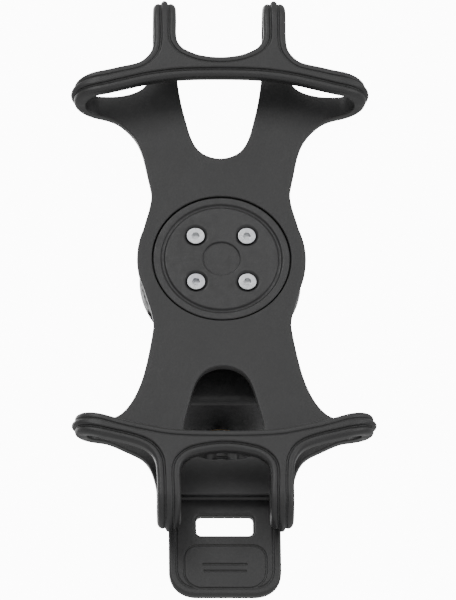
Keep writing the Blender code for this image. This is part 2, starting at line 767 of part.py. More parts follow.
def make_threaded_insert():
    top = ARM_TOP + GAP + INSERT_FLANGE_HEIGHT
    seat = ARM_TOP + GAP
    end = ARM_BOTTOM + GAP
    bore = SCREW_RADIUS + GAP
    profile = [
        (INSERT_FLANGE_RADIUS, top),
        (INSERT_FLANGE_RADIUS, seat),
        (INSERT_RADIUS, seat),
        (INSERT_RADIUS, end),
        (bore, end),
        (bore, top),
    ]
    as_part(turned("threaded_insert", profile, UPRIGHT, (0.0, 0.0, 0.0), SMALL_ROUND), BRASS)


def make_clamp_screw():
    """Ball-ended screw, its fluted knob and the cap in the knob's lower face."""
    neck_angle = math.asin(SCREW_NECK_RADIUS / BALL_RADIUS)
    ball = []
    for i in range(9):
        angle = (math.pi - neck_angle) * i / 8
        ball.append((BALL_RADIUS * math.sin(angle), BALL_CENTRE + BALL_RADIUS * math.cos(angle)))
    shank = [
        (SCREW_NECK_RADIUS, SCREW_SHOULDER + 0.4),
        (SCREW_RADIUS, SCREW_SHOULDER - 0.6),
        (SCREW_RADIUS, SCREW_END),
        (0.0, SCREW_END),
    ]
    as_part(turned("clamp_screw", ball + shank, UPRIGHT, (0.0, 0.0, 0.0), PIN_ROUND), STEEL)

    rim = []
    count = KNOB_FLUTES * 8
    for i in range(count):
        angle = math.tau * i / count
        dip = (0.5 - 0.5 * math.cos(KNOB_FLUTES * angle)) ** 2
        radius = KNOB_RADIUS - KNOB_FLUTE_DEPTH * dip
        rim.append((radius * math.cos(angle), radius * math.sin(angle), CORNER))
    knob = extruded("clamp_knob", [rim], KNOB_BOTTOM, KNOB_TOP, UPRIGHT)
    round_edges(knob, KNOB_ROUNDING)
    bore = disc(SCREW_RADIUS + GAP, KNOB_TOP + THROUGH, SCREW_END - GAP)
    cut(knob, turned("knob_bore", bore, UPRIGHT, (0.0, 0.0, 0.0), PIN_ROUND))
    cap_top = KNOB_BOTTOM + CAP_THICKNESS
    recess = disc(CAP_RADIUS, cap_top + GAP, KNOB_BOTTOM - THROUGH)
    cut(knob, turned("cap_recess", recess, UPRIGHT, (0.0, 0.0, 0.0), SMALL_ROUND))
    as_part(knob, KNOB_PLASTIC)
    cap = disc(CAP_RADIUS - GAP, cap_top, KNOB_BOTTOM)
    as_part(turned("knob_cap", cap, UPRIGHT, (0.0, 0.0, 0.0), SMALL_ROUND), KNOB_PLASTIC)


make_harness()
make_pull_tab()
make_swivel()
make_wave_washer()
make_clamp_frame()
liner("seat_liner", 172, 54, FRAME_HALF_WIDTH - 1.0)
make_pressure_plate()
liner("plate_liner", -134, -46, PLATE_HALF_WIDTH - 0.5)
make_threaded_insert()
make_clamp_screw()
bpy.context.view_layer.update()
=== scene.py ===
"""Looks of the phone handlebar mount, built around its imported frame.

Sizes are in millimetres. The harness and its tab are measured from the phone: x along the bar, y behind
the phone's back face and z from the phone's middle. The swivel is measured from its own axis and the same
back face, and the clamp from the bar's axis. The camera and the lights are placed in metres.
"""

import math

import bpy
import numpy as np
from mathutils import Matrix, Vector


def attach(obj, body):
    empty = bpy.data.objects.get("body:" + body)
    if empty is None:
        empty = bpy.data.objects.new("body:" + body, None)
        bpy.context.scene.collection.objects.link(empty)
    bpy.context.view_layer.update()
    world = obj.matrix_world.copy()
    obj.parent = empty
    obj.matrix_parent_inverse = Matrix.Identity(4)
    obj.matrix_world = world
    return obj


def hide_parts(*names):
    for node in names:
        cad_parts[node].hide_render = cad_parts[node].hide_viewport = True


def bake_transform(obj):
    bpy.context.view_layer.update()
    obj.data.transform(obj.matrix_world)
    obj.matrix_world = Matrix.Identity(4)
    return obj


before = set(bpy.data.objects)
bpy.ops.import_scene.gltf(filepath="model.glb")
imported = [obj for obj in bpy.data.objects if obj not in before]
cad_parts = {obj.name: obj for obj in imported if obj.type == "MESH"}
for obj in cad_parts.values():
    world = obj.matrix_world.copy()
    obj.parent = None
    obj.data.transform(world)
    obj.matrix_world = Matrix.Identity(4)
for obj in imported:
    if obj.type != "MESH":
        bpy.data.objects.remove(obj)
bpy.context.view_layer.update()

MM = 0.001
BACK_FACE = -29.0
HUB_CENTRE_Z = 2.9
PHONE_ORIGIN = (0.0, BACK_FACE, -HUB_CENTRE_Z)
SWIVEL_ORIGIN = (0.0, BACK_FACE, 0.0)
BAR_ORIGIN = (0.0, 0.0, 0.0)

# A field's value where a cut doesn't apply, and the scale that keeps a threaded field below true distance.
FAR = 9.0
SHALLOW = 0.7

# Mesh steps.
SKIN_STEP = 0.24
TAB_STEP = 0.16
HARD_STEP = 0.3
FINE_STEP = 0.12

# Brightness that the floor and the world show to the camera.
BACKDROP = 12.0

# Phone that the harness is stretched over.
EDGE_RADIUS = 3.55
FLAT_HALF_WIDTH = 30.0
FLAT_HALF_HEIGHT = 65.6

# Cross-section of the harness: a round bead along every edge, a groove, and a raised field or rib inside it.
# The rises are what each size gains where a strap has turned round the phone's edge.
BEAD_HEIGHT = 2.55
BEAD_CROWN = 0.12
BEAD_RISE = 0.5
BEAD_ROUNDING = 0.9
BEAD_ROUNDING_RISE = 0.6
FIELD_HEIGHT = 2.95
FIELD_RISE = 0.85
FIELD_EDGE = 2.05
FIELD_ROUNDING = 0.3
FIELD_ROUNDING_RISE = 0.4
FIELD_DRAFT = 0.22
GROOVE_CENTRE = 1.84
GROOVE_RADIUS = 0.27
GROOVE_FALL = 0.4
GROOVE_LIP = 0.14
UNDER_ROUNDING = 0.35
SCREEN_BEAD_SHARE = 0.92
WRAP_MIDDLE_RADIUS = EDGE_RADIUS + 1.6
FRONT_TO_REAR = 2.6
LEG_INNER = 10.85
LEG_OUTER = 16.65

HUB_RADIUS = 21.0
HUB_HEIGHT = 4.0
HUB_RECESS_RADIUS = 17.3
HUB_RECESS_DEPTH = 2.0
HUB_HOLE_RADIUS = 13.3
HUB_FILLET = 5.0
HUB_FACE_START = 24.0
HUB_FACE_END = 20.4
TAB_ROOT_CENTRE = (0.0, 4.6, -59.05)
TAB_ROOT_HALF = (13.4, 1.6, 2.8)
TAB_ROOT_FILLET = 0.9


# ---------------------------------------------------------------- distance fields


def smoothstep(low, high, value):
    t = np.clip((value - low) / (high - low), 0.0, 1.0)
    return t * t * (3.0 - 2.0 * t)


def both(a, b, rounding):
    """Intersection of two fields, with a rounded edge."""
    corner = np.hypot(np.maximum(rounding + a, 0.0), np.maximum(rounding + b, 0.0))
    return np.minimum(-rounding, np.maximum(a, b)) + corner


def either(a, b, rounding):
    """Union of two fields, with a fillet."""
    return -both(-a, -b, rounding)


def without(a, b, rounding):
    return both(a, -b, rounding)


def rounded_box(x, y, z, centre, half, rounding):
    dx = np.abs(x - centre[0]) - half[0] + rounding
    dy = np.abs(y - centre[1]) - half[1] + rounding
    dz = np.abs(z - centre[2]) - half[2] + rounding
    outside = np.sqrt(np.maximum(dx, 0.0) ** 2 + np.maximum(dy, 0.0) ** 2 + np.maximum(dz, 0.0) ** 2)
    return outside + np.minimum(np.maximum(np.maximum(dx, dy), dz), 0.0) - rounding


def disc(radius, low, high, at_radius, along, rounding):
    """A round plate between two places along its axis."""
    return both(at_radius - radius, np.maximum(low - along, along - high), rounding)


def ball_field(x, y, z, radius):
    return np.sqrt(x * x + y * y + z * z) - radius


def thread_wave(turns):
    """A triangle wave from 0 to 1 once in each turn."""
    return np.abs(2.0 * (turns - np.floor(turns)) - 1.0)


def lobes(angle, count):
    """A wave from 0 to 1 with that many peaks around the circle."""
    return 0.5 + 0.5 * np.cos(count * angle)


def spline(points):
    """A dense open line through (x, y, handle) points: smooth at "s" points and straight at "c" ones."""
    count = len(points)
    line = []
    for i in range(count - 1):
        p1 = np.array(points[i][:2])
        p2 = np.array(points[i + 1][:2])
        p0 = np.array(points[i - 1][:2]) if i > 0 else p1
        p3 = np.array(points[i + 2][:2]) if i + 2 < count else p2
        length = np.linalg.norm(p2 - p1)
        out = (p2 - p0) if points[i][2] == "s" else (p2 - p1)
        into = (p3 - p1) if points[i + 1][2] == "s" else (p2 - p1)
        if points[i][2] == "s" and p1[0] == 0.0:
            out = np.array((p2[0], 0.0))
        if points[i + 1][2] == "s" and p2[0] == 0.0:
            into = np.array((-p1[0], 0.0))
        h1 = p1 + out * length / 3 / np.linalg.norm(out)
        h2 = p2 - into * length / 3 / np.linalg.norm(into)
        for t in np.linspace(0.0, 1.0, 13)[:-1]:
            s = 1.0 - t
            line.append(s**3 * p1 + 3 * s * s * t * h1 + 3 * s * t * t * h2 + t**3 * p2)
    line.append(np.array(points[-1][:2], float))
    return np.array(line)


def distance_to_line(x, y, line):
    """Distance from many points to an open line of corners."""
    best = np.full(x.shape, 1e9)
    for (ax, ay), (bx, by) in zip(line[:-1], line[1:]):
        ex, ey = bx - ax, by - ay
        t = np.clip(((x - ax) * ex + (y - ay) * ey) / max(ex * ex + ey * ey, 1e-12), 0.0, 1.0)
        best = np.minimum(best, (x - ax - t * ex) ** 2 + (y - ay - t * ey) ** 2)
    return np.sqrt(best)


def inside_loop(x, y, loop):
    hit = np.zeros(x.shape, bool)
    for (ax, ay), (bx, by) in zip(loop, np.roll(loop, -1, axis=0)):
        if ay == by:
            continue
        crosses = (ay > y) != (by > y)
        hit ^= crosses & (x < ax + (y - ay) * (bx - ax) / (by - ay))
    return hit


class Map:
    """A field sampled once over a rectangle, and read back between its samples."""

    def __init__(self, low, high, step, make):
        self.low = low
        self.step = step
        self.x = np.arange(low[0], high[0] + step, step)
        self.y = np.arange(low[1], high[1] + step, step)
        self.values = make(*np.meshgrid(self.x, self.y, indexing="ij"))

    def __call__(self, x, y):
        i = np.clip((x - self.low[0]) / self.step, 0.0, len(self.x) - 1.001)
        j = np.clip((y - self.low[1]) / self.step, 0.0, len(self.y) - 1.001)
        i0 = i.astype(int)
        j0 = j.astype(int)
        fi = i - i0
        fj = j - j0
        v = self.values
        low = v[i0, j0] * (1 - fi) + v[i0 + 1, j0] * fi
        high = v[i0, j0 + 1] * (1 - fi) + v[i0 + 1, j0 + 1] * fi
        return low * (1 - fj) + high * fj


# ---------------------------------------------------------------- meshes from fields


def net(field, low, high, step):
    """Vertices and quads of the surface where a field is zero, by surface nets."""
    axes = [np.arange(a, b + step, step) for a, b in zip(low, high)]
    counts = [len(a) for a in axes]
    values = np.empty(counts, np.float32)
    y, z = np.meshgrid(axes[1], axes[2], indexing="ij")
    for i, x in enumerate(axes[0]):
        values[i] = field(np.full(y.shape, x), y, z)
    inside = values < 0.0
    strides = np.array([counts[1] * counts[2], counts[2], 1])
    cells, points, quads = [], [], []
    for axis in range(3):
        a = [slice(1, -1)] * 3
        b = [slice(1, -1)] * 3
        a[axis] = slice(0, -1)
        b[axis] = slice(1, None)
        va, vb = values[tuple(a)], values[tuple(b)]
        where = np.nonzero(inside[tuple(a)] != inside[tuple(b)])
        start = np.array([s.start for s in a])
        base = np.stack(where, 1) + start
        first = va[where].astype(float)
        second = vb[where].astype(float)
        point = base.astype(float)
        point[:, axis] += first / (first - second)
        u = np.eye(3, dtype=int)[(axis + 1) % 3]
        v = np.eye(3, dtype=int)[(axis + 2) % 3]
        corners = [(base - u - v) @ strides, (base - v) @ strides, base @ strides, (base - u) @ strides]
        quad = np.stack(corners, 1)
        outward = ~inside[tuple(a)][where]
        quad[outward] = quad[outward][:, ::-1]
        quads.append(quad)
        for corner in corners:
            cells.append(corner)
            points.append(point)
    cells = np.concatenate(cells)
    points = np.concatenate(points)
    quads = np.concatenate(quads)
    used, index = np.unique(cells, return_inverse=True)
    total = np.bincount(index)
    vertices = np.stack([np.bincount(index, points[:, k]) / total for k in range(3)], 1)
    vertices = vertices * step + np.array(low)
    quads = np.searchsorted(used, quads)
    return vertices, quads


def gradient(field, p, reach=0.03):
    slopes = []
    for axis in range(3):
        shift = np.zeros(3)
        shift[axis] = reach
        a, b = p + shift, p - shift
        slopes.append((field(*a.T) - field(*b.T)) / (2 * reach))
    return np.stack(slopes, 1)


def settle(field, vertices, step):
    """Moves the vertices onto the field's exact surface."""
    for _ in range(4):
        value = field(*vertices.T)
        slope = gradient(field, vertices)
        size = np.maximum((slope**2).sum(1), 0.05)
        move = np.clip(value / size, -step / 2, step / 2)[:, None] * slope
        vertices = vertices - move
    return vertices


def new_mesh_object(name, vertices, faces, material):
    mesh = bpy.data.meshes.new(name)
    mesh.from_pydata(vertices, [], faces)
    mesh.validate()
    mesh.shade_smooth()
    thing = bpy.data.objects.new(name, mesh)
    bpy.context.scene.collection.objects.link(thing)
    mesh.materials.append(material)
    return thing


def skin(name, field, low, high, step, origin, material, marks=None):
    """A finished piece from a field. Marks are extra values kept on its vertices for its material."""
    vertices, quads = net(field, low, high, step)
    vertices = settle(field, vertices, step)
    normals = gradient(field, vertices)
    normals /= np.maximum(np.linalg.norm(normals, axis=1), 1e-6)[:, None]
    thing = new_mesh_object(name, (vertices + np.array(origin)) * MM, quads, material)
    if len(thing.data.vertices) == len(normals):
        thing.data.normals_split_custom_set_from_vertices(normals)
    for mark, reader in (marks or {}).items():
        layer = thing.data.attributes.new(mark, "FLOAT", "POINT")
        layer.data.foreach_set("value", reader(*vertices.T).astype(np.float32))
    return thing


# ---------------------------------------------------------------- materials


class Shading:
    """A material under construction: its Principled shader and short ways to add nodes."""

    def __init__(self, name, colour, roughness, metallic=0.0, specular=0.5):
        self.material = bpy.data.materials.new(name)
        self.material.use_nodes = True
        self.tree = self.material.node_tree
        self.shader = self.tree.nodes["Principled BSDF"]
        self.shader.inputs["Base Color"].default_value = (*colour, 1.0)
        self.shader.inputs["Roughness"].default_value = roughness
        self.shader.inputs["Metallic"].default_value = metallic
        self.shader.inputs["Specular IOR Level"].default_value = specular
        self.place = self.tree.nodes.new("ShaderNodeTexCoord").outputs["Object"]
        self.normal = None

    def node(self, kind, **inputs):
        made = self.tree.nodes.new(kind)
        for name, value in inputs.items():
            self.feed(made.inputs[name.replace("_", " ")], value)
        return made

    def feed(self, socket, value):
        if isinstance(value, bpy.types.NodeSocket):
            self.tree.links.new(value, socket)
        else:
            socket.default_value = value

    def stretched(self, scale, turn=(0.0, 0.0, 0.0)):
        """The surface's own place, stretched along some axes."""
        return self.node("ShaderNodeMapping", Vector=self.place, Rotation=turn, Scale=scale).outputs[0]

    def noise(self, size, detail=4.0, roughness=0.55, vector=None):
        """Noise with features of that size in millimetres."""
        scale = 1.0 / (size * MM)
        vector = vector or self.place
        made = self.node("ShaderNodeTexNoise", Vector=vector, Scale=scale, Detail=detail, Roughness=roughness)
        return made.outputs["Fac"]

    def cells(self, size):
        """Distance to the nearest of scattered points about that far apart in millimetres."""
        made = self.node("ShaderNodeTexVoronoi", Vector=self.place, Scale=1.0 / (size * MM))
        return made.outputs["Distance"]

    def attribute(self, name):
        made = self.tree.nodes.new("ShaderNodeAttribute")
        made.attribute_name = name
        return made.outputs["Fac"]

    def remap(self, value, low, high, new_low, new_high):
        made = self.node("ShaderNodeMapRange", Value=value)
        for socket, number in zip(list(made.inputs)[1:5], (low, high, new_low, new_high)):
            socket.default_value = number
        return made.outputs[0]

    def maths(self, operation, a, b):
        made = self.tree.nodes.new("ShaderNodeMath")
        made.operation = operation
        self.feed(made.inputs[0], a)
        self.feed(made.inputs[1], b)
        return made.outputs[0]

    def mix(self, share, a, b):
        """Colours mixed by a value that changes over the surface."""
        made = self.tree.nodes.new("ShaderNodeMix")
        made.data_type = "RGBA"
        self.feed(made.inputs[0], share)
        self.feed(made.inputs[6], a if isinstance(a, bpy.types.NodeSocket) else (*a, 1.0))
        self.feed(made.inputs[7], b if isinstance(b, bpy.types.NodeSocket) else (*b, 1.0))
        return made.outputs[2]

    def colour(self, socket):
        self.tree.links.new(socket, self.shader.inputs["Base Color"])

    def roughness(self, socket):
        self.tree.links.new(socket, self.shader.inputs["Roughness"])

    def bump(self, height, depth, strength=1.0):
        """Relief of that depth in millimetres, laid over any relief added before it."""
        made = self.node("ShaderNodeBump", Height=height, Distance=depth * MM, Strength=strength)
        if self.normal:
            self.tree.links.new(self.normal, made.inputs["Normal"])
        self.normal = made.outputs[0]
        self.tree.links.new(self.normal, self.shader.inputs["Normal"])


def silicone():
    """Matt, slightly dusty silicone, smoother along its worn edges, with a painted highlight that lightens
    its colour near the edges.
    """
    look = Shading("silicone_moulding", (0.014, 0.014, 0.0145), 0.5, specular=0.42)
    depth = look.attribute("edge_depth")
    # 1 at the outline's edge, falling to 0 at 1.4 mm in: it paints a highlight on the edges and makes them
    # smoother.
    wear_and_edge_highlight = look.remap(depth, 0.0, 1.4, 1.0, 0.0)
    clouds = look.noise(9.0, 5.0, 0.6)
    cloudy = look.remap(clouds, 0.35, 0.65, 0.0, 1.0)
    dust = look.remap(look.noise(0.9, 8.0, 0.7), 0.50, 0.78, 0.0, 1.0)
    dust = look.maths("MULTIPLY", dust, look.remap(clouds, 0.40, 0.66, 0.15, 1.0))
    base = look.mix(cloudy, (0.0085, 0.0085, 0.0088), (0.0120, 0.0120, 0.0124))
    base = look.mix(look.maths("MULTIPLY", dust, 0.26), base, (0.060, 0.059, 0.056))
    # Painted highlight: near the outline's edges the colour is mixed a quarter of the way towards a lighter
    # grey.
    base = look.mix(look.maths("MULTIPLY", wear_and_edge_highlight, 0.25), base, (0.015, 0.015, 0.0155))
    look.colour(base)
    sheen = look.remap(clouds, 0.35, 0.65, 0.47, 0.58)
    sheen = look.maths("SUBTRACT", sheen, look.maths("MULTIPLY", wear_and_edge_highlight, 0.05))
    look.roughness(look.maths("ADD", sheen, look.maths("MULTIPLY", dust, 0.15)))
    look.bump(look.noise(0.18, 3.0, 0.6), 0.020)
    look.bump(look.noise(0.8, 4.0, 0.6), 0.030, 0.8)
    look.bump(look.noise(3.5, 2.0, 0.5), 0.06, 0.7)
    return look.material


def moulded_nylon(name, light, dark, roughness):
    """Glass-filled nylon: spark-eroded grain, fibres just under the surface and faint flow clouds."""
    look = Shading(name, light, roughness, specular=0.45)
    clouds = look.noise(12.0, 4.0, 0.6)
    fibres = look.noise(0.22, 3.0, 0.6, look.stretched((0.12, 1.0, 1.0), (0.3, 0.4, 0.9)))
    fibres = look.remap(fibres, 0.60, 0.74, 0.0, 1.0)
    base = look.mix(look.remap(clouds, 0.35, 0.65, 0.0, 1.0), dark, light)
    base = look.mix(look.maths("MULTIPLY", fibres, 0.35), base, tuple(2.6 * c for c in light))
    look.colour(base)
    look.roughness(look.remap(look.noise(2.2, 5.0, 0.6), 0.35, 0.65, roughness - 0.07, roughness + 0.09))
    look.bump(look.cells(0.34), 0.018)
    look.bump(look.noise(0.12, 3.0, 0.6), 0.010)
    return look.material


def liner_rubber():
    """Soft black rubber with a dull bloom."""
    look = Shading("liner_rubber", (0.011, 0.011, 0.011), 0.8, specular=0.3)
    bloom = look.remap(look.noise(4.0, 6.0, 0.65), 0.42, 0.70, 0.0, 0.5)
    look.colour(look.mix(bloom, (0.010, 0.010, 0.010), (0.026, 0.026, 0.027)))
    look.roughness(look.remap(bloom, 0.0, 0.5, 0.72, 0.88))
    look.bump(look.noise(0.25, 4.0, 0.6), 0.02)
    return look.material


def turned_metal(name, light, dark, roughness, stretch):
    """Machined or rolled metal, with fine tool marks across one axis and faint stains."""
    look = Shading(name, light, roughness, 1.0)
    marks = look.noise(0.25, 4.0, 0.65, look.stretched(stretch))
    stains = look.remap(look.noise(3.0, 5.0, 0.6), 0.42, 0.68, 0.0, 1.0)
    look.colour(look.mix(stains, light, dark))
    rough = look.remap(marks, 0.3, 0.7, roughness - 0.06, roughness + 0.10)
    look.roughness(look.maths("ADD", rough, look.maths("MULTIPLY", stains, 0.08)))
    look.bump(marks, 0.012, 0.8)
    return look.material


SILICONE = silicone()
NYLON = moulded_nylon("glass_filled_nylon", (0.012, 0.012, 0.0125), (0.008, 0.008, 0.0083), 0.48)
KNOB_PLASTIC = moulded_nylon("knob_plastic", (0.016, 0.016, 0.0165), (0.012, 0.012, 0.0123), 0.38)
RUBBER = liner_rubber()
ALONG_Z = (0.2, 0.2, 3.0)
ALONG_Y = (0.2, 3.0, 0.2)
STEEL = turned_metal("zinc_plated_steel", (0.56, 0.57, 0.58), (0.42, 0.43, 0.46), 0.30, ALONG_Z)
SCREW_STEEL = turned_metal("zinc_plated_screws", (0.55, 0.56, 0.57), (0.40, 0.41, 0.44), 0.28, ALONG_Y)
SPRING_STEEL = turned_metal("spring_steel", (0.36, 0.36, 0.37), (0.24, 0.23, 0.22), 0.33, (0.1, 1.0, 2.0))
BRASS = turned_metal("turned_brass", (0.70, 0.52, 0.24), (0.52, 0.36, 0.16), 0.30, ALONG_Z)


# ---------------------------------------------------------------- harness outlines, as right halves


FAR_X = 46.2
FAR_Z = 82.0
UPPER_SCREEN_EDGE = [
    (0.0, 49.15, "s"),
    (10.2, 48.85, "s"),
    (17.9, 47.75, "s"),
    (25.1, 45.95, "s"),
    (30.0, 44.8, "s"),
    (38.1, 43.85, "s"),
    (FAR_X, 43.0, "c"),
]
UPPER_CORNER_EDGE = [
    (FAR_X, 48.8, "c"),
    (38.1, 49.65, "s"),
    (30.0, 50.95, "s"),
    (25.05, 52.15, "s"),
    (20.5, 53.35, "s"),
    (18.55, 54.8, "s"),
    (17.1, 57.0, "s"),
    (LEG_OUTER, 59.9, "s"),
    (LEG_OUTER, 65.6, "s"),
    (LEG_OUTER, FAR_Z, "c"),
]
UPPER_WINDOW_EDGE = [
    (LEG_INNER, FAR_Z, "c"),
    (LEG_INNER, 65.6, "s"),
    (10.8, 60.2, "s"),
    (9.8, 58.1, "s"),
    (8.5, 57.0, "s"),
    (5.0, 55.5, "s"),
    (0.0, 54.9, "s"),
]
LOWER_SCREEN_EDGE = [
    (0.0, -48.9, "s"),
    (9.0, -48.75, "s"),
    (13.9, -48.35, "s"),
    (17.7, -47.6, "s"),
    (21.5, -46.75, "s"),
    (25.0, -45.85, "s"),
    (29.8, -44.4, "s"),
    (38.1, -42.3, "s"),
    (FAR_X, -41.7, "c"),
]
LOWER_CORNER_EDGE = [
    (FAR_X, -47.5, "c"),
    (38.1, -48.1, "s"),
    (30.0, -50.35, "s"),
    (23.1, -52.1, "s"),
    (19.1, -53.9, "s"),
    (17.2, -56.6, "s"),
    (16.75, -60.0, "s"),
    (LEG_OUTER, -65.6, "s"),
    (LEG_OUTER, -FAR_Z, "c"),
]
LOWER_WINDOW_EDGE = [
    (LEG_INNER, -FAR_Z, "c"),
    (LEG_INNER, -65.6, "s"),
    (10.9, -59.4, "s"),
    (9.85, -57.1, "s"),
    (7.2, -55.4, "s"),
    (0.0, -54.3, "s"),
]
UPPER_REAR_GAP = [
    (0.0, 31.0, "s"),
    (5.5, 33.5, "s"),
    (8.6, 42.0, "s"),
    (10.6, 54.0, "s"),
    (LEG_INNER, 65.6, "s"),
    (LEG_INNER, FAR_Z, "c"),
]
UPPER_REAR_CORNER = [
    (LEG_OUTER, FAR_Z, "c"),
    (LEG_OUTER, 65.6, "s"),
    (16.9, 57.0, "s"),
    (18.8, 51.4, "s"),
    (23.5, 48.9, "s"),
    (30.0, 48.5, "s"),
    (38.1, 49.65, "s"),
    (FAR_X, 50.5, "c"),
]
UPPER_REAR_SIDE = [
    (FAR_X, 44.7, "c"),
    (38.1, 43.85, "s"),
    (30.0, 42.7, "s"),
    (25.0, 40.6, "s"),
    (20.5, 35.0, "s"),
    (18.0, 25.0, "s"),
    (16.0, 14.0, "c"),
    (0.0, 14.0, "c"),
]
LOWER_REAR_SIDE = [
    (0.0, -8.0, "c"),
    (16.0, -8.0, "c"),
    (18.0, -22.0, "s"),
    (20.8, -33.0, "s"),
    (25.0, -39.8, "s"),
    (30.0, -41.7, "s"),
    (38.1, -42.3, "s"),
    (FAR_X, -44.6, "c"),
]
LOWER_REAR_CORNER = [
    (FAR_X, -50.4, "c"),
    (38.1, -48.1, "s"),
    (30.0, -47.5, "s"),
    (24.0, -49.9, "s"),
    (19.2, -53.0, "s"),
    (16.9, -59.0, "s"),
    (LEG_OUTER, -65.6, "s"),
    (LEG_OUTER, -FAR_Z, "c"),
]
LOWER_REAR_END = [(LEG_INNER, -FAR_Z, "c"), (LEG_INNER, -61.9, "c"), (0.0, -61.9, "c")]
REAR_WINDOW = [
    (0.0, -27.0, "s"),
    (5.5, -29.5, "s"),
    (8.6, -38.0, "s"),
    (9.9, -46.0, "s"),
    (7.5, -51.0, "s"),
    (0.0, -52.5, "s"),
]


def mirrored_line(points):
    """An edge that starts or ends at x = 0 and is carried on to its mirror image; any other edge as it is."""
    other = [(-x, z, handle) for x, z, handle in reversed(points)]
    if points[0][0] == 0.0:
        return spline(other[:-1] + points)
    return spline(points[:-1] + other) if points[-1][0] == 0.0 else spline(points)


def band_depth(x, z, first_edge, other_edges, first_share=1.0):
    """Depth inside one outline. A share below 1 counts it slower from the first edge and widens its bead."""
    loop = np.concatenate([spline(edge) for edge in [first_edge, *other_edges]])
    inside = inside_loop(x, z, loop)
    first = distance_to_line(x, z, mirrored_line(first_edge))
    other = np.min([distance_to_line(x, z, mirrored_line(edge)) for edge in other_edges], axis=0)
    return np.where(inside, np.minimum(first * first_share, other), -np.minimum(first, other))


def front_depth(x, z):
    share = SCREEN_BEAD_SHARE + (1.0 - SCREEN_BEAD_SHARE) * smoothstep(26.0, 33.0, x)
    upper = band_depth(x, z, UPPER_SCREEN_EDGE, [UPPER_CORNER_EDGE, UPPER_WINDOW_EDGE], share)
    lower = band_depth(x, z, LOWER_SCREEN_EDGE, [LOWER_CORNER_EDGE, LOWER_WINDOW_EDGE])
    return np.maximum(upper, lower)


def rear_depth(x, z):
    upper = band_depth(x, z, UPPER_REAR_GAP, [UPPER_REAR_CORNER, UPPER_REAR_SIDE])
    lower = band_depth(x, z, LOWER_REAR_SIDE, [LOWER_REAR_CORNER, LOWER_REAR_END])
    in_window = inside_loop(x, z, spline(REAR_WINDOW))
    window = distance_to_line(x, z, mirrored_line(REAR_WINDOW)) * np.where(in_window, -1.0, 1.0)
    arms = np.maximum(upper, np.minimum(lower, window))
    hub = HUB_RADIUS - np.hypot(x, z - HUB_CENTRE_Z)
    return -either(-arms, -hub, HUB_FILLET)


MAP_LOW = (0.0, -78.0)
MAP_HIGH = (FAR_X, 78.0)
MAP_STEP = 0.25
FRONT_MAP = Map(MAP_LOW, MAP_HIGH, MAP_STEP, front_depth)
REAR_MAP = Map(MAP_LOW, MAP_HIGH, MAP_STEP, rear_depth)


def harness_place(x, y, z):
    """Height above the phone, depth inside the outline and share of the turn round the phone's edge."""
    aside = np.abs(x)
    behind = y + EDGE_RADIUS
    past_x = np.maximum(aside - FLAT_HALF_WIDTH, 0.0)
    past_z = np.maximum(np.abs(z) - FLAT_HALF_HEIGHT, 0.0)
    height = np.sqrt(past_x**2 + past_z**2 + behind**2) - EDGE_RADIUS
    level = np.abs(behind) + 1e-6
    u = np.minimum(aside, FLAT_HALF_WIDTH) + WRAP_MIDDLE_RADIUS * np.arctan2(past_x, level)
    v = np.minimum(np.abs(z), FLAT_HALF_HEIGHT) + WRAP_MIDDLE_RADIUS * np.arctan2(past_z, level)
    v = v * np.sign(z)
    share = smoothstep(-FRONT_TO_REAR, FRONT_TO_REAR, behind)
    depth = FRONT_MAP(u, v) * (1.0 - share) + REAR_MAP(u, v) * share
    quarter = np.arctan2(np.maximum(past_x, past_z), level) / (math.pi / 2)
    return height, depth, smoothstep(0.1, 0.8, quarter)


def profile(height, depth, turn, field_height):
    """Field of the harness's cross-section."""
    bead_height = BEAD_HEIGHT + BEAD_RISE * turn
    crown = BEAD_CROWN * np.clip((depth - FIELD_EDGE / 2) / (FIELD_EDGE / 2), -1.0, 1.0) ** 2
    bead = both(-depth, height - bead_height + crown, BEAD_ROUNDING + BEAD_ROUNDING_RISE * turn)
    wall = FIELD_EDGE - depth + FIELD_DRAFT * (height - bead_height)
    top = height - field_height - FIELD_RISE * turn
    raised = both(wall, top, FIELD_ROUNDING + FIELD_ROUNDING_RISE * turn)
    body = np.minimum(bead, raised)
    groove_radius = GROOVE_RADIUS * (1.0 - GROOVE_FALL * turn)
    groove = np.hypot(depth - GROOVE_CENTRE, height - bead_height) - groove_radius
    body = without(body, groove, GROOVE_LIP)
    return both(body, -height, UNDER_ROUNDING)


def harness_field(x, y, z):
    height, depth, turn = harness_place(x, y, z)
    radius = np.hypot(x, z - HUB_CENTRE_Z)
    on_hub = smoothstep(HUB_FACE_START, HUB_FACE_END, radius) * (y > 0.0)
    body = profile(height, depth, turn, FIELD_HEIGHT + (HUB_HEIGHT - FIELD_HEIGHT) * on_hub)
    root = rounded_box(x, y, z, TAB_ROOT_CENTRE, TAB_ROOT_HALF, TAB_ROOT_FILLET)
    body = either(body, root, TAB_ROOT_FILLET)
    recess = np.maximum(radius - HUB_RECESS_RADIUS, y - HUB_RECESS_DEPTH)
    at_back = y > -1.0
    body = without(body, np.where(at_back, recess, FAR), 0.2)
    return without(body, np.where(at_back, radius - HUB_HOLE_RADIUS, FAR), 0.3)


def harness_depth(x, y, z):
    return harness_place(x, y, z)[1]


def add(name, field, low, high, step, origin, look, body, slot, nodes, marks=None):
    """A finished piece that rides on a body and stands for some CAD nodes."""
    piece = skin(name, field, low, high, step, origin, look, marks)
    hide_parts(*nodes)
    if body:
        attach(piece, body)
    return piece


add(
    "harness_skin",
    harness_field,
    (-38.5, -12.0, -74.0),
    (38.5, 8.0, 74.0),
    SKIN_STEP,
    PHONE_ORIGIN,
    SILICONE,
    "harness",
    "silicone",
    ("harness_upper", "harness_lower", "harness_hub"),
    {"edge_depth": harness_depth},
)


# ---------------------------------------------------------------- pull tab


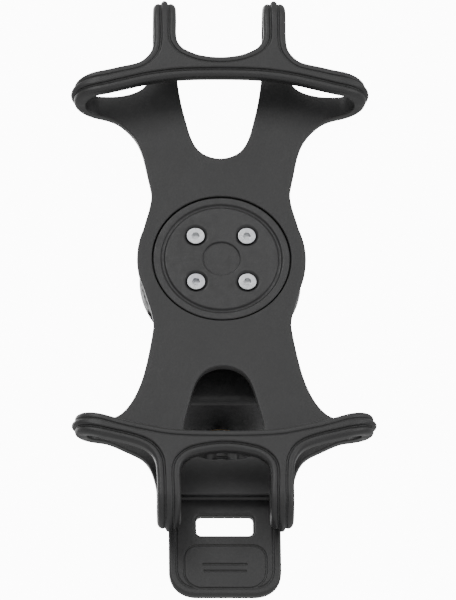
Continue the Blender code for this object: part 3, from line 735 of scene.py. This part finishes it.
TAB_HALF_WIDTH = 13.7
TAB_FRONT = 3.7
TAB_BACK = 6.2
TAB_TOP = -59.0
TAB_BOTTOM = -87.2
TAB_CORNER = 7.2
TAB_CORNER_POWER = 2.3
TAB_EDGE_ROUNDING = 0.75
TAB_SLOT = (-68.45, 6.9, 2.65, 1.2)
TUCK = 0.3
PANEL_CENTRE = -79.6
PANEL_HALF_WIDTH = 10.0
PANEL_HALF_HEIGHT = 5.7
PANEL_TOP_CORNER = 3.2
PANEL_BOTTOM_CORNER = 4.4
UPPER_GRIP_LINE = (-78.9, 5.2)
LOWER_GRIP_LINE = (-80.7, 5.0)
RIM_LINE = 1.9
PANEL_GROOVE = 0.26
GRIP_GROOVE = 0.28
RIM_GROOVE = 0.27


def tab_edge(x, z):
    """Depth inside the tab's outline, which is open at its top."""
    a = np.abs(x) - TAB_HALF_WIDTH + TAB_CORNER
    b = TAB_BOTTOM + TAB_CORNER - z
    power = TAB_CORNER_POWER
    corner = (np.maximum(a, 0.0) ** power + np.maximum(b, 0.0) ** power) ** (1.0 / power)
    return TAB_CORNER - corner - np.minimum(np.maximum(a, b), 0.0)


def flat_box(x, z, centre_z, half_x, half_z, corner):
    """A rounded rectangle on the z axis."""
    a = np.abs(x) - half_x + corner
    b = np.abs(z - centre_z) - half_z + corner
    return np.hypot(np.maximum(a, 0.0), np.maximum(b, 0.0)) + np.minimum(np.maximum(a, b), 0.0) - corner


def grip_line(x, z, height, reach):
    return np.hypot(np.maximum(np.abs(x) - reach, 0.0), z - height)


def tab_field(x, y, z):
    """The tab, with its root tucked in where it meets the harness, and the same lines on both faces."""
    tucked = TUCK * smoothstep(-61.2, -60.4, z)
    edge = tab_edge(x, z) - tucked
    slot = flat_box(x, z, *TAB_SLOT)
    outline = np.maximum(-edge, -slot)
    middle = (TAB_FRONT + TAB_BACK) / 2
    half = (TAB_BACK - TAB_FRONT) / 2 - tucked
    body = both(outline, np.abs(y - middle) - half, TAB_EDGE_ROUNDING)
    body = both(body, z - TAB_TOP, 0.5)
    corner = np.where(z > PANEL_CENTRE, PANEL_TOP_CORNER, PANEL_BOTTOM_CORNER)
    panel = flat_box(x, z, PANEL_CENTRE, PANEL_HALF_WIDTH, PANEL_HALF_HEIGHT, corner)
    grip = np.minimum(grip_line(x, z, *UPPER_GRIP_LINE), grip_line(x, z, *LOWER_GRIP_LINE))
    for face in (TAB_FRONT, TAB_BACK):
        for line, radius in ((panel, PANEL_GROOVE), (grip, GRIP_GROOVE), (edge - RIM_LINE, RIM_GROOVE)):
            body = without(body, np.hypot(line, y - face) - radius, 0.1)
    return body


def tab_depth(x, y, z):
    return np.minimum(tab_edge(x, z), flat_box(x, z, *TAB_SLOT))


tab = add(
    "pull_tab_skin",
    tab_field,
    (-14.5, 2.46, -88.4),
    (14.5, 7.4, -58.0),
    TAB_STEP,
    PHONE_ORIGIN,
    SILICONE,
    None,
    "silicone",
    ("pull_tab",),
    {"edge_depth": tab_depth},
)
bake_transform(tab)


# ---------------------------------------------------------------- swivel, with depths behind the phone


def four_around(radius):
    angles = [math.radians(a) for a in (45, 135, 225, 315)]
    return [(radius * math.cos(a), radius * math.sin(a)) for a in angles]


RETAINER_HOLES = four_around(9.0)
RETAINER_HOLE_RADIUS = 1.55
RETAINER_HOLE_MOUTH = 2.95
RETAINER_RADIUS = 17.0
RETAINER_FRONT = 0.2
RETAINER_BACK = 1.7
RETAINER_GROOVE = (14.6, 0.5)
RETAINER_DIMPLE = (4.6, -1.0, 0.65)
ADAPTER_PLATE_RADIUS = 13.0
ADAPTER_PLATE_BACK = 5.0
ADAPTER_FRONT = 2.0
ADAPTER_RIM_RADIUS = 19.0
ADAPTER_RIM_FRONT = 4.06
ADAPTER_RIM_BACK = 6.3
ADAPTER_SCALLOPS = 30
ADAPTER_SCALLOP_DEPTH = 0.55
ADAPTER_NECK_RADIUS = 12.0
ADAPTER_NECK_FRONT = 5.5
ADAPTER_BACK = 8.2
RING_HOLES = four_around(17.2)
RING_HOLE_RADIUS = 1.3
RING_HOLE_MOUTH = 2.3
RING_RADIUS = 20.2
RING_BORE_RADIUS = 12.4
RING_FRONT = 6.6
RING_BACK = 8.36
RING_TOP = 8.4
RING_NOTCHES = 72
RING_NOTCH_DEPTH = 0.3
THREAD_SHARE = 0.28
SOCKET_SHARE = 0.45
SOCKET_DEPTH = 1.0
HEXAGON_ANGLES = (math.pi / 6, math.pi / 2, math.pi * 5 / 6)


def from_holes(x, z, holes):
    return np.min([np.hypot(x - hx, z - hz) for hx, hz in holes], axis=0)


def sunk_holes(x, y, z, holes, front, radius, mouth):
    """Countersunk holes that open at a front face."""
    cone = np.clip(mouth + front - y, radius, mouth)
    return (from_holes(x, z, holes) - cone) * 0.8


def retainer_field(x, y, z):
    """The plate in the hub's recess, with a groove, a dimple in the middle and four screw holes."""
    r = np.hypot(x, z)
    body = disc(RETAINER_RADIUS, RETAINER_FRONT, RETAINER_BACK, r, y, 0.3)
    groove_centre, groove_radius = RETAINER_GROOVE
    body = without(body, np.hypot(r - groove_centre, y - RETAINER_FRONT) - groove_radius, 0.25)
    body = without(body, disc(*RETAINER_DIMPLE, r, y, 0.2), 0.25)
    mouth = RETAINER_HOLE_MOUTH
    holes = sunk_holes(x, y, z, RETAINER_HOLES, RETAINER_FRONT, RETAINER_HOLE_RADIUS, mouth)
    return without(body, holes, 0.1)


def adapter_field(x, y, z):
    """The adapter under the hub: a plate, a scalloped rim and the neck that turns in the ring."""
    r = np.hypot(x, z)
    scallop = ADAPTER_SCALLOP_DEPTH * lobes(np.arctan2(z, x), ADAPTER_SCALLOPS) ** 2
    body = disc(ADAPTER_PLATE_RADIUS, ADAPTER_FRONT, ADAPTER_PLATE_BACK, r, y, 0.25)
    rim = disc(ADAPTER_RIM_RADIUS - scallop, ADAPTER_RIM_FRONT, ADAPTER_RIM_BACK, r, y, 0.4)
    body = either(body, rim, 0.15)
    neck = disc(ADAPTER_NECK_RADIUS, ADAPTER_NECK_FRONT, ADAPTER_BACK, r, y, 0.15)
    body = either(body, neck, 0.1)
    return without(body, from_holes(x, z, RETAINER_HOLES) - RETAINER_HOLE_RADIUS, 0.1)


def ring_field(x, y, z):
    """The ring that keeps the flange in its pocket, with fine notches around its edge."""
    r = np.hypot(x, z)
    notch = RING_NOTCH_DEPTH * lobes(np.arctan2(z, x), RING_NOTCHES) ** 3
    body = disc(RING_RADIUS - notch, RING_FRONT, RING_BACK, r, y, 0.28)
    body = without(body, r - RING_BORE_RADIUS, 0.25)
    holes = sunk_holes(x, y, z, RING_HOLES, RING_FRONT, RING_HOLE_RADIUS, RING_HOLE_MOUTH)
    return without(body, holes, 0.1)


def screw_field(head, radius, front, back, pitch):
    """A countersunk screw on its own axis, with a hexagon socket and a thread."""

    def field(x, y, z):
        r = np.hypot(x, z)
        wave = thread_wave((y - front) / pitch - np.arctan2(z, x) / math.tau)
        threaded = smoothstep(front + head + 0.4, front + head + 0.8, y)
        shank = radius - THREAD_SHARE * pitch * wave * threaded
        cone = np.minimum(head, head + front + 0.2 - y)
        tip = back - y + radius - 0.3
        body = disc(np.minimum(np.maximum(cone, shank), tip), front, back, r, y, 0.08)
        across = head * SOCKET_SHARE * math.cos(math.pi / 6)
        sides = [np.abs(x * math.cos(a) + z * math.sin(a)) for a in HEXAGON_ANGLES]
        socket = np.maximum(np.max(sides, axis=0) - across, y - front - SOCKET_DEPTH)
        return without(body, socket, 0.05) * SHALLOW

    return field


def screws(label, holes, head, radius, front, back, pitch, body):
    field = screw_field(head, radius, front, back, pitch)
    low = (-head - 0.4, front - 0.4, -head - 0.4)
    high = (head + 0.4, back + 0.4, head + 0.4)
    for number, (x, z) in enumerate(holes, 1):
        name = f"{label}_{number}"
        origin = (x, SWIVEL_ORIGIN[1], z)
        add(name + "_skin", field, low, high, FINE_STEP, origin, SCREW_STEEL, body, "steel", (name,))


def on_swivel(name, field, radius, front, back, step, body):
    low = (-radius - 1.0, front - 1.0, -radius - 1.0)
    high = (radius + 1.0, back + 1.0, radius + 1.0)
    add(name + "_skin", field, low, high, step, SWIVEL_ORIGIN, NYLON, body, "nylon", (name,))


RETAINER_SIZE = (RETAINER_RADIUS, RETAINER_FRONT, RETAINER_BACK)
ADAPTER_SIZE = (ADAPTER_RIM_RADIUS, ADAPTER_FRONT, ADAPTER_BACK)
RING_SIZE = (RING_RADIUS, RING_FRONT, RING_TOP)
on_swivel("retainer_plate", retainer_field, *RETAINER_SIZE, HARD_STEP * 0.75, "harness")
on_swivel("swivel_adapter", adapter_field, *ADAPTER_SIZE, HARD_STEP, "harness")
on_swivel("socket_ring", ring_field, *RING_SIZE, HARD_STEP, "bar_clamp")
M2_5 = {"head": 2.2, "radius": 1.25, "pitch": 0.6}
M2 = {"head": 1.6, "radius": 1.0, "pitch": 0.5}
screws("retainer_screw", RETAINER_HOLES, front=0.3, back=10.1, body="harness", **M2_5)
screws("ring_screw", RING_HOLES, front=6.8, back=13.4, body="bar_clamp", **M2)
for node, look in (("swivel_flange", NYLON), ("wave_washer", SPRING_STEEL)):
    for material_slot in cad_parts[node].material_slots:
        material_slot.material = look


# ---------------------------------------------------------------- clamp, about the bar


BAR_RADIUS = 12.7
SEAT_RADIUS = 14.2
LINER_RADIUS = 13.9
LINER_RIB = 0.35
LINER_RIBS = 60
HOOK_RADIUS = 20.4
HOOK_TIP = 50
FRAME_HALF_WIDTH = 16.0
FRAME_EDGE = 1.1
PANEL_DEPTH = 0.9
POCKET_BOSS_RADIUS = 20.2
POCKET_RADIUS = 15.4
POCKET_FLOOR = 11.7
BOSS_CLEARANCE = 9.0
RING_HOLE_FLOOR = 13.7
HOOK_START = 8.0
HOOK_GROOVE_ANGLES = range(58, 88, 6)
HOOK_GROOVE_CENTRE = 20.5
HOOK_GROOVE_RADIUS = 0.62
HOOK_GROOVE_REACH = 12.5
INSERT_HOLE_RADIUS = 4.5
INSERT_HOLE_TOP = -24.0
INSERT_FLANGE = (6.0, -29.7, -28.5)
INSERT_SHANK_RADIUS = 4.0
INSERT_SHANK_BOTTOM = -35.2
INSERT_SHANK_TOP = -29.5
INSERT_BORE_RADIUS = 3.3
PLATE_HALF_WIDTH = 15.0
PLATE_EDGE = 0.9
PLATE_HOLLOWS_BELOW = (-2.0, 2.9, 8.2, 1.0)
PLATE_HOLLOWS_BEHIND = (-17.6, 5.6, 3.4, 1.2)
BALL_CENTRE = -19.6
BALL_RADIUS = 3.2
SOCKET_RADIUS = 3.5
SOCKET_MOUTH_RADIUS = 2.95
SOCKET_MOUTH_TOP = -21.0
SCREW_THREAD_RADIUS = 3.0
SCREW_THREAD_DEPTH = 0.55
SCREW_NECK = (2.0, -24.5, -20.0)
SCREW_SHOULDER = -24.0
SCREW_END = -46.0
KNOB_RADIUS = 11.0
KNOB_EDGE = 1.3
KNOB_TOP = -39.3
KNOB_BOTTOM = -50.0
KNOB_FLUTES = 8
KNOB_FLUTE_DEPTH = 1.15
KNOB_LINES = (-42.6, -44.4, -46.2)
KNOB_BORE_RADIUS = 3.3
KNOB_BORE_FLOOR = -46.3
CAP_RADIUS = 6.7
CAP_HEIGHT = 1.2
CAP_GAP = 0.3
CAP_DISH_RADIUS = 30.1
CAP_DISH_DEPTH = 0.4


def arc_points(centre, radius, start, end, count, corner=0.0):
    """Outline points along an arc, in degrees. The two end points may be rounded corners."""
    points = []
    for i in range(count + 1):
        angle = math.radians(start + (end - start) * i / count)
        ends = corner if i in (0, count) else 0.0
        points.append((centre[0] + radius * math.cos(angle), centre[1] + radius * math.sin(angle), ends))
    return points


def filleted(points):
    """A closed line through (y, z, corner radius) points."""
    line = []
    count = len(points)
    for i, (y, z, radius) in enumerate(points):
        here = np.array((y, z))
        if radius == 0.0:
            line.append(here)
            continue
        before = np.array(points[i - 1][:2]) - here
        after = np.array(points[(i + 1) % count][:2]) - here
        before /= np.linalg.norm(before)
        after /= np.linalg.norm(after)
        half = math.acos(np.clip(before @ after, -1.0, 1.0)) / 2
        centre = here + (before + after) / np.linalg.norm(before + after) * radius / math.sin(half)
        start = here + before * radius / math.tan(half) - centre
        end = here + after * radius / math.tan(half) - centre
        for t in np.linspace(0.0, 1.0, 7):
            way = start * (1 - t) + end * t
            line.append(centre + way / np.linalg.norm(way) * radius)
    return np.array(line)


def outline_map(points, low, high):
    loop = filleted(points)
    closed = np.vstack([loop, loop[:1]])

    def measure(y, z):
        return distance_to_line(y, z, closed) * np.where(inside_loop(y, z, loop), -1.0, 1.0)

    return Map(low, high, 0.2, measure)


def hook_tip(radius, corner):
    angle = math.radians(HOOK_TIP)
    return radius * math.cos(angle), radius * math.sin(angle), corner


FRAME_OUTLINE = (
    [(-19.8, -35.5, 2.0), (9.0, -35.5, 2.0), (9.0, -30.0, 1.6), (-SEAT_RADIUS, -30.0, 1.5)]
    + arc_points((0.0, 0.0), SEAT_RADIUS, 180, HOOK_TIP, 40)[:-1]
    + [hook_tip(SEAT_RADIUS, 1.0), hook_tip(HOOK_RADIUS, 1.6)]
    + arc_points((0.0, 0.0), HOOK_RADIUS, 52, 90, 12)
    + arc_points((-13.8, 14.4), 6.0, 90, 180, 10)
)
FRAME_MAP = outline_map(FRAME_OUTLINE, (-22.0, -38.0), (16.0, 23.0))
PLATE_OUTLINE = [
    (-13.9, -9.6, 1.2),
    (-13.9, -23.0, 1.6),
    (10.0, -23.0, 1.6),
    (10.0, -10.08, 0.0),
    *arc_points((0.0, 0.0), SEAT_RADIUS, -45.2, -137.5, 30),
]
PLATE_MAP = outline_map(PLATE_OUTLINE, (-16.0, -25.0), (12.0, -7.0))


def frame_field(x, y, z):
    """The C of the clamp, with the swivel's boss and pocket, panels, grip grooves and holes."""
    inside = FRAME_MAP(y, z)
    aside = np.abs(x)
    body = both(inside, aside - FRAME_HALF_WIDTH, FRAME_EDGE)
    depth = y - BACK_FACE
    r = np.hypot(x, z)
    boss = disc(POCKET_BOSS_RADIUS, RING_TOP, 14.0, r, depth, 0.5)
    body = either(body, boss, 0.8)
    panel = both(inside + 1.7, FRAME_HALF_WIDTH - PANEL_DEPTH - aside, 0.2)
    panel = np.where(y < -13.0, np.maximum(panel, BOSS_CLEARANCE - np.abs(z)), panel)
    body = without(body, panel, 0.3)
    outer = np.hypot(y, z)
    angle = np.arctan2(z, y)
    along = np.min([np.abs(angle - math.radians(a)) for a in HOOK_GROOVE_ANGLES], axis=0) * outer
    grooves = np.hypot(along, outer - HOOK_GROOVE_CENTRE) - HOOK_GROOVE_RADIUS
    grooves = np.maximum(grooves, aside - HOOK_GROOVE_REACH)
    body = without(body, np.where(z > HOOK_START, grooves, FAR), 0.25)
    pocket = np.maximum(r - POCKET_RADIUS, depth - POCKET_FLOOR)
    body = without(body, pocket, 0.25)
    holes = np.maximum(from_holes(x, z, RING_HOLES) - RING_HOLE_RADIUS, depth - RING_HOLE_FLOOR)
    body = without(body, np.where(depth < 16.0, holes, FAR), 0.12)
    insert = np.where(z < INSERT_HOLE_TOP, np.hypot(x, y) - INSERT_HOLE_RADIUS, FAR)
    return without(body, insert, 0.25)


def liner_field(start, end, half_width):
    """A ribbed rubber arc around the bar, between two angles in degrees."""
    middle = math.radians((start + end) / 2)
    spread = math.radians(abs(end - start) / 2)

    def field(x, y, z):
        r = np.hypot(y, z)
        angle = np.arctan2(z, y)
        away = np.abs((angle - middle + math.pi) % math.tau - math.pi)
        rib = LINER_RIB * lobes(away, LINER_RIBS) ** 2
        inner = BAR_RADIUS + rib * smoothstep(0.0, 1.2, half_width - 1.0 - np.abs(x))
        body = both(r - LINER_RADIUS, inner - r, 0.2)
        body = both(body, (away - spread) * r, 0.3)
        return both(body, np.abs(x) - half_width, 0.3)

    return field


def plate_field(x, y, z):
    """The pressure plate, with side panels, hollows below and behind, and the ball's socket."""
    inside = PLATE_MAP(y, z)
    aside = np.abs(x)
    body = both(inside, aside - PLATE_HALF_WIDTH, PLATE_EDGE)
    panel = both(inside + 1.6, PLATE_HALF_WIDTH - 1.0 - aside, 0.2)
    body = without(body, panel, 0.3)
    below = flat_box(aside - 9.2, y, *PLATE_HOLLOWS_BELOW)
    body = without(body, np.maximum(below, z + 21.6), 0.3)
    behind = flat_box(aside - 6.7, z, *PLATE_HOLLOWS_BEHIND)
    body = without(body, np.maximum(behind, 9.2 - y), 0.3)
    socket = ball_field(x, y, z - BALL_CENTRE, SOCKET_RADIUS)
    mouth = np.maximum(np.hypot(x, y) - SOCKET_MOUTH_RADIUS, z - SOCKET_MOUTH_TOP)
    return without(body, np.minimum(socket, mouth), 0.2)


def insert_field(x, y, z):
    """The brass insert: a flange, a knurled shank and a thread of one millimetre a turn inside."""
    r = np.hypot(x, y)
    angle = np.arctan2(y, x)
    flange = disc(*INSERT_FLANGE, r, z, 0.2)
    knurl = np.abs(np.sin(14.0 * angle + z * 3.0)) + np.abs(np.sin(14.0 * angle - z * 3.0))
    radius = INSERT_SHANK_RADIUS + 0.1 * knurl
    shank = disc(radius, INSERT_SHANK_BOTTOM, INSERT_SHANK_TOP, r, z, 0.15)
    bore = r - INSERT_BORE_RADIUS - 0.3 * thread_wave(z - angle / math.tau)
    return without(np.minimum(flange, shank), bore, 0.08) * SHALLOW


def on_bar(name, field, low, high, step, look, body, slot):
    add(name + "_skin", field, low, high, step, BAR_ORIGIN, look, body, slot, (name,))


FRAME_BOX = ((-21.5, -21.8, -36.8), (21.5, 15.5, 21.8))
SEAT_LINER_BOX = ((-16.0, -15.0, -1.0), (16.0, 10.0, 15.0))
PLATE_BOX = ((-16.0, -15.0, -24.0), (16.0, 11.0, -8.0))
PLATE_LINER_BOX = ((-15.5, -11.0, -15.0), (15.5, 11.0, -8.0))
INSERT_BOX = ((-6.6, -6.6, -35.8), (6.6, 6.6, -27.9))
SEAT_LINER = liner_field(170, 58, 15.0)
PLATE_LINER = liner_field(-134, -46, 14.5)
on_bar("clamp_frame", frame_field, *FRAME_BOX, HARD_STEP, NYLON, "bar_clamp", "nylon")
on_bar("seat_liner", SEAT_LINER, *SEAT_LINER_BOX, HARD_STEP * 0.8, RUBBER, "bar_clamp", "liner_rubber")
on_bar("pressure_plate", plate_field, *PLATE_BOX, HARD_STEP, NYLON, "pressure_pad", "nylon")
on_bar("plate_liner", PLATE_LINER, *PLATE_LINER_BOX, HARD_STEP * 0.8, RUBBER, "pressure_pad", "liner_rubber")
on_bar("threaded_insert", insert_field, *INSERT_BOX, FINE_STEP * 1.4, BRASS, "bar_clamp", "brass")


# ---------------------------------------------------------------- clamp screw and knob


def clamp_screw_field(x, y, z):
    """The screw, threaded and chamfered below its neck and with the ball at its top."""
    r = np.hypot(x, y)
    wave = thread_wave(z - np.arctan2(y, x) / math.tau)
    depth = SCREW_THREAD_DEPTH * np.clip(1.3 * wave - 0.15, 0.0, 1.0)
    chamfer = 2.3 + np.maximum(SCREW_SHOULDER - 0.1 - z, 0.0)
    radius = np.minimum(SCREW_THREAD_RADIUS - depth, chamfer)
    shank = disc(radius, SCREW_END, SCREW_SHOULDER, r, z, 0.1)
    neck = disc(*SCREW_NECK, r, z, 0.1)
    ball = ball_field(x, y, z - BALL_CENTRE, BALL_RADIUS)
    return np.minimum(shank, either(ball, neck, 0.5)) * SHALLOW


def knob_field(x, y, z):
    """The fluted knob, with three lines around it, a hollow hub on top and the cap's recess below."""
    r = np.hypot(x, y)
    flute = (1.0 - lobes(np.arctan2(y, x), KNOB_FLUTES)) ** 2
    taper = 0.35 * smoothstep(KNOB_BOTTOM + 3.0, KNOB_TOP, z)
    radius = KNOB_RADIUS - KNOB_FLUTE_DEPTH * flute - taper
    body = disc(radius, KNOB_BOTTOM, KNOB_TOP, r, z, KNOB_EDGE)
    from_line = np.min([np.abs(z - height) for height in KNOB_LINES], axis=0)
    lines = np.hypot(from_line, r - radius - 0.05) - 0.34
    body = without(body, lines + 0.5 * flute, 0.15)
    groove_below = np.hypot(r - 8.4, z - KNOB_BOTTOM) - 0.5
    body = without(body, groove_below, 0.2)
    hollow_above = np.maximum(np.abs(r - 6.2) - 1.9, KNOB_TOP - 0.9 - z)
    body = without(body, hollow_above, 0.3)
    bore = np.maximum(r - KNOB_BORE_RADIUS, KNOB_BORE_FLOOR - z)
    body = without(body, bore, 0.2)
    cap_recess = np.maximum(r - CAP_RADIUS - CAP_GAP, z - KNOB_BOTTOM - CAP_HEIGHT - CAP_GAP)
    return without(body, cap_recess, 0.15) * 0.9


def cap_field(x, y, z):
    """The knob's cap, dished a little and with a fine ring in its face."""
    r = np.hypot(x, y)
    body = disc(CAP_RADIUS, KNOB_BOTTOM, KNOB_BOTTOM + CAP_HEIGHT, r, z, 0.25)
    dish = ball_field(x, y, z - KNOB_BOTTOM + CAP_DISH_RADIUS - CAP_DISH_DEPTH, CAP_DISH_RADIUS)
    body = without(body, dish, 0.15)
    ring = np.hypot(r - 5.6, z - KNOB_BOTTOM) - 0.22
    return without(body, ring, 0.08)


SCREW_BOX = ((-3.7, -3.7, -46.5), (3.7, 3.7, -16.0))
KNOB_BOX = ((-11.9, -11.9, -50.9), (11.9, 11.9, -38.4))
CAP_BOX = ((-7.4, -7.4, -50.6), (7.4, 7.4, -48.2))
on_bar("clamp_screw", clamp_screw_field, *SCREW_BOX, FINE_STEP * 1.1, STEEL, "clamp_screw", "steel")
on_bar("clamp_knob", knob_field, *KNOB_BOX, HARD_STEP * 0.8, KNOB_PLASTIC, "clamp_screw", "knob_plastic")
on_bar("knob_cap", cap_field, *CAP_BOX, HARD_STEP * 0.8, KNOB_PLASTIC, "clamp_screw", "knob_plastic")


# ---------------------------------------------------------------- studio


# The camera's place as it was solved from the phone in the photo, in degrees and metres, and what it aims at.
ELEVATION = 27.06
AZIMUTH = 1.90
ROLL = -0.77
DISTANCE = 1.681
LENS = 406.7
PHONE_CENTRE = (0.0, -0.029, -0.0029)
PICTURE_CENTRE = (0.00145, -0.029, -0.0117)
WHITE = (1.0, 1.0, 1.0, 1.0)
FLOOR_HALF_WIDTH = 30.0
FLOOR_HEIGHT = -1.0


def look_from_below():
    """Camera in front of the phone, below it and looking up along its lean."""
    elevation = math.radians(ELEVATION)
    azimuth = math.radians(AZIMUTH)
    roll = math.radians(ROLL)
    level = math.cos(elevation)
    forward = Vector((math.sin(azimuth) * level, math.cos(azimuth) * level, math.sin(elevation)))
    right = Vector((math.cos(azimuth), -math.sin(azimuth), 0.0))
    up = right.cross(forward)
    side = right * math.cos(roll) + up * math.sin(roll)
    top = up * math.cos(roll) - right * math.sin(roll)
    place = Vector(PHONE_CENTRE) - forward * DISTANCE
    aim = Vector(PICTURE_CENTRE) - place
    aim.normalize()
    side = (side - aim * side.dot(aim)).normalized()
    top = side.cross(aim)
    data = bpy.data.cameras.new("camera")
    data.lens = LENS
    data.sensor_width = 36.0
    data.clip_end = 50.0
    camera = bpy.data.objects.new("camera", data)
    bpy.context.scene.collection.objects.link(camera)
    rows = [(side[i], top[i], -aim[i], place[i]) for i in range(3)]
    camera.matrix_world = Matrix((*rows, (0, 0, 0, 1)))
    bpy.context.scene.camera = camera


def soft_light(name, place, target, size, watts):
    data = bpy.data.lights.new(name, "AREA")
    data.shape = "RECTANGLE"
    data.size, data.size_y = size
    data.energy = watts
    lamp = bpy.data.objects.new(name, data)
    bpy.context.scene.collection.objects.link(lamp)
    lamp.location = place
    direction = Vector(target) - Vector(place)
    lamp.rotation_mode = "QUATERNION"
    lamp.rotation_quaternion = direction.to_track_quat("-Z", "Y")


def floor():
    """A wide pale floor that is as bright as the backdrop."""
    mesh = bpy.data.meshes.new("floor")
    corners = [(x * FLOOR_HALF_WIDTH, y * FLOOR_HALF_WIDTH) for x, y in ((-1, -1), (1, -1), (1, 1), (-1, 1))]
    mesh.from_pydata([(x, y, FLOOR_HEIGHT) for x, y in corners], [], [(0, 1, 2, 3)])
    plane = bpy.data.objects.new("floor", mesh)
    bpy.context.scene.collection.objects.link(plane)
    pale = bpy.data.materials.new("pale_floor")
    pale.use_nodes = True
    nodes, links = pale.node_tree.nodes, pale.node_tree.links
    shader = nodes["Principled BSDF"]
    shader.inputs["Base Color"].default_value = (0.8, 0.8, 0.8, 1.0)
    shader.inputs["Roughness"].default_value = 0.9
    glow = nodes.new("ShaderNodeEmission")
    glow.inputs["Color"].default_value = WHITE
    glow.inputs["Strength"].default_value = BACKDROP
    path = nodes.new("ShaderNodeLightPath")
    mix = nodes.new("ShaderNodeMixShader")
    links.new(path.outputs["Is Camera Ray"], mix.inputs[0])
    links.new(shader.outputs[0], mix.inputs[1])
    links.new(glow.outputs[0], mix.inputs[2])
    links.new(mix.outputs[0], nodes["Material Output"].inputs["Surface"])
    mesh.materials.append(pale)


def studio():
    """An even white surround with a key light from the upper left, a fill and a light behind."""
    world = bpy.data.worlds.new("studio")
    bpy.context.scene.world = world
    world.use_nodes = True
    nodes, links = world.node_tree.nodes, world.node_tree.links
    ambient = nodes["Background"]
    ambient.inputs["Color"].default_value = WHITE
    ambient.inputs["Strength"].default_value = 0.9
    backdrop = nodes.new("ShaderNodeBackground")
    backdrop.inputs["Color"].default_value = WHITE
    backdrop.inputs["Strength"].default_value = BACKDROP
    path = nodes.new("ShaderNodeLightPath")
    mix = nodes.new("ShaderNodeMixShader")
    links.new(path.outputs["Is Camera Ray"], mix.inputs[0])
    links.new(ambient.outputs[0], mix.inputs[1])
    links.new(backdrop.outputs[0], mix.inputs[2])
    links.new(mix.outputs[0], nodes["World Output"].inputs["Surface"])
    soft_light("key", (-1.0, -2.4, 1.7), (0, -0.03, 0), (1.6, 1.6), 48.0)
    soft_light("fill", (1.0, -0.9, 0.2), (0, -0.03, 0), (0.9, 0.9), 8.0)
    soft_light("back", (-0.9, 1.1, 0.8), (0, 0, 0), (1.2, 1.2), 17.0)


look_from_below()
studio()
floor()
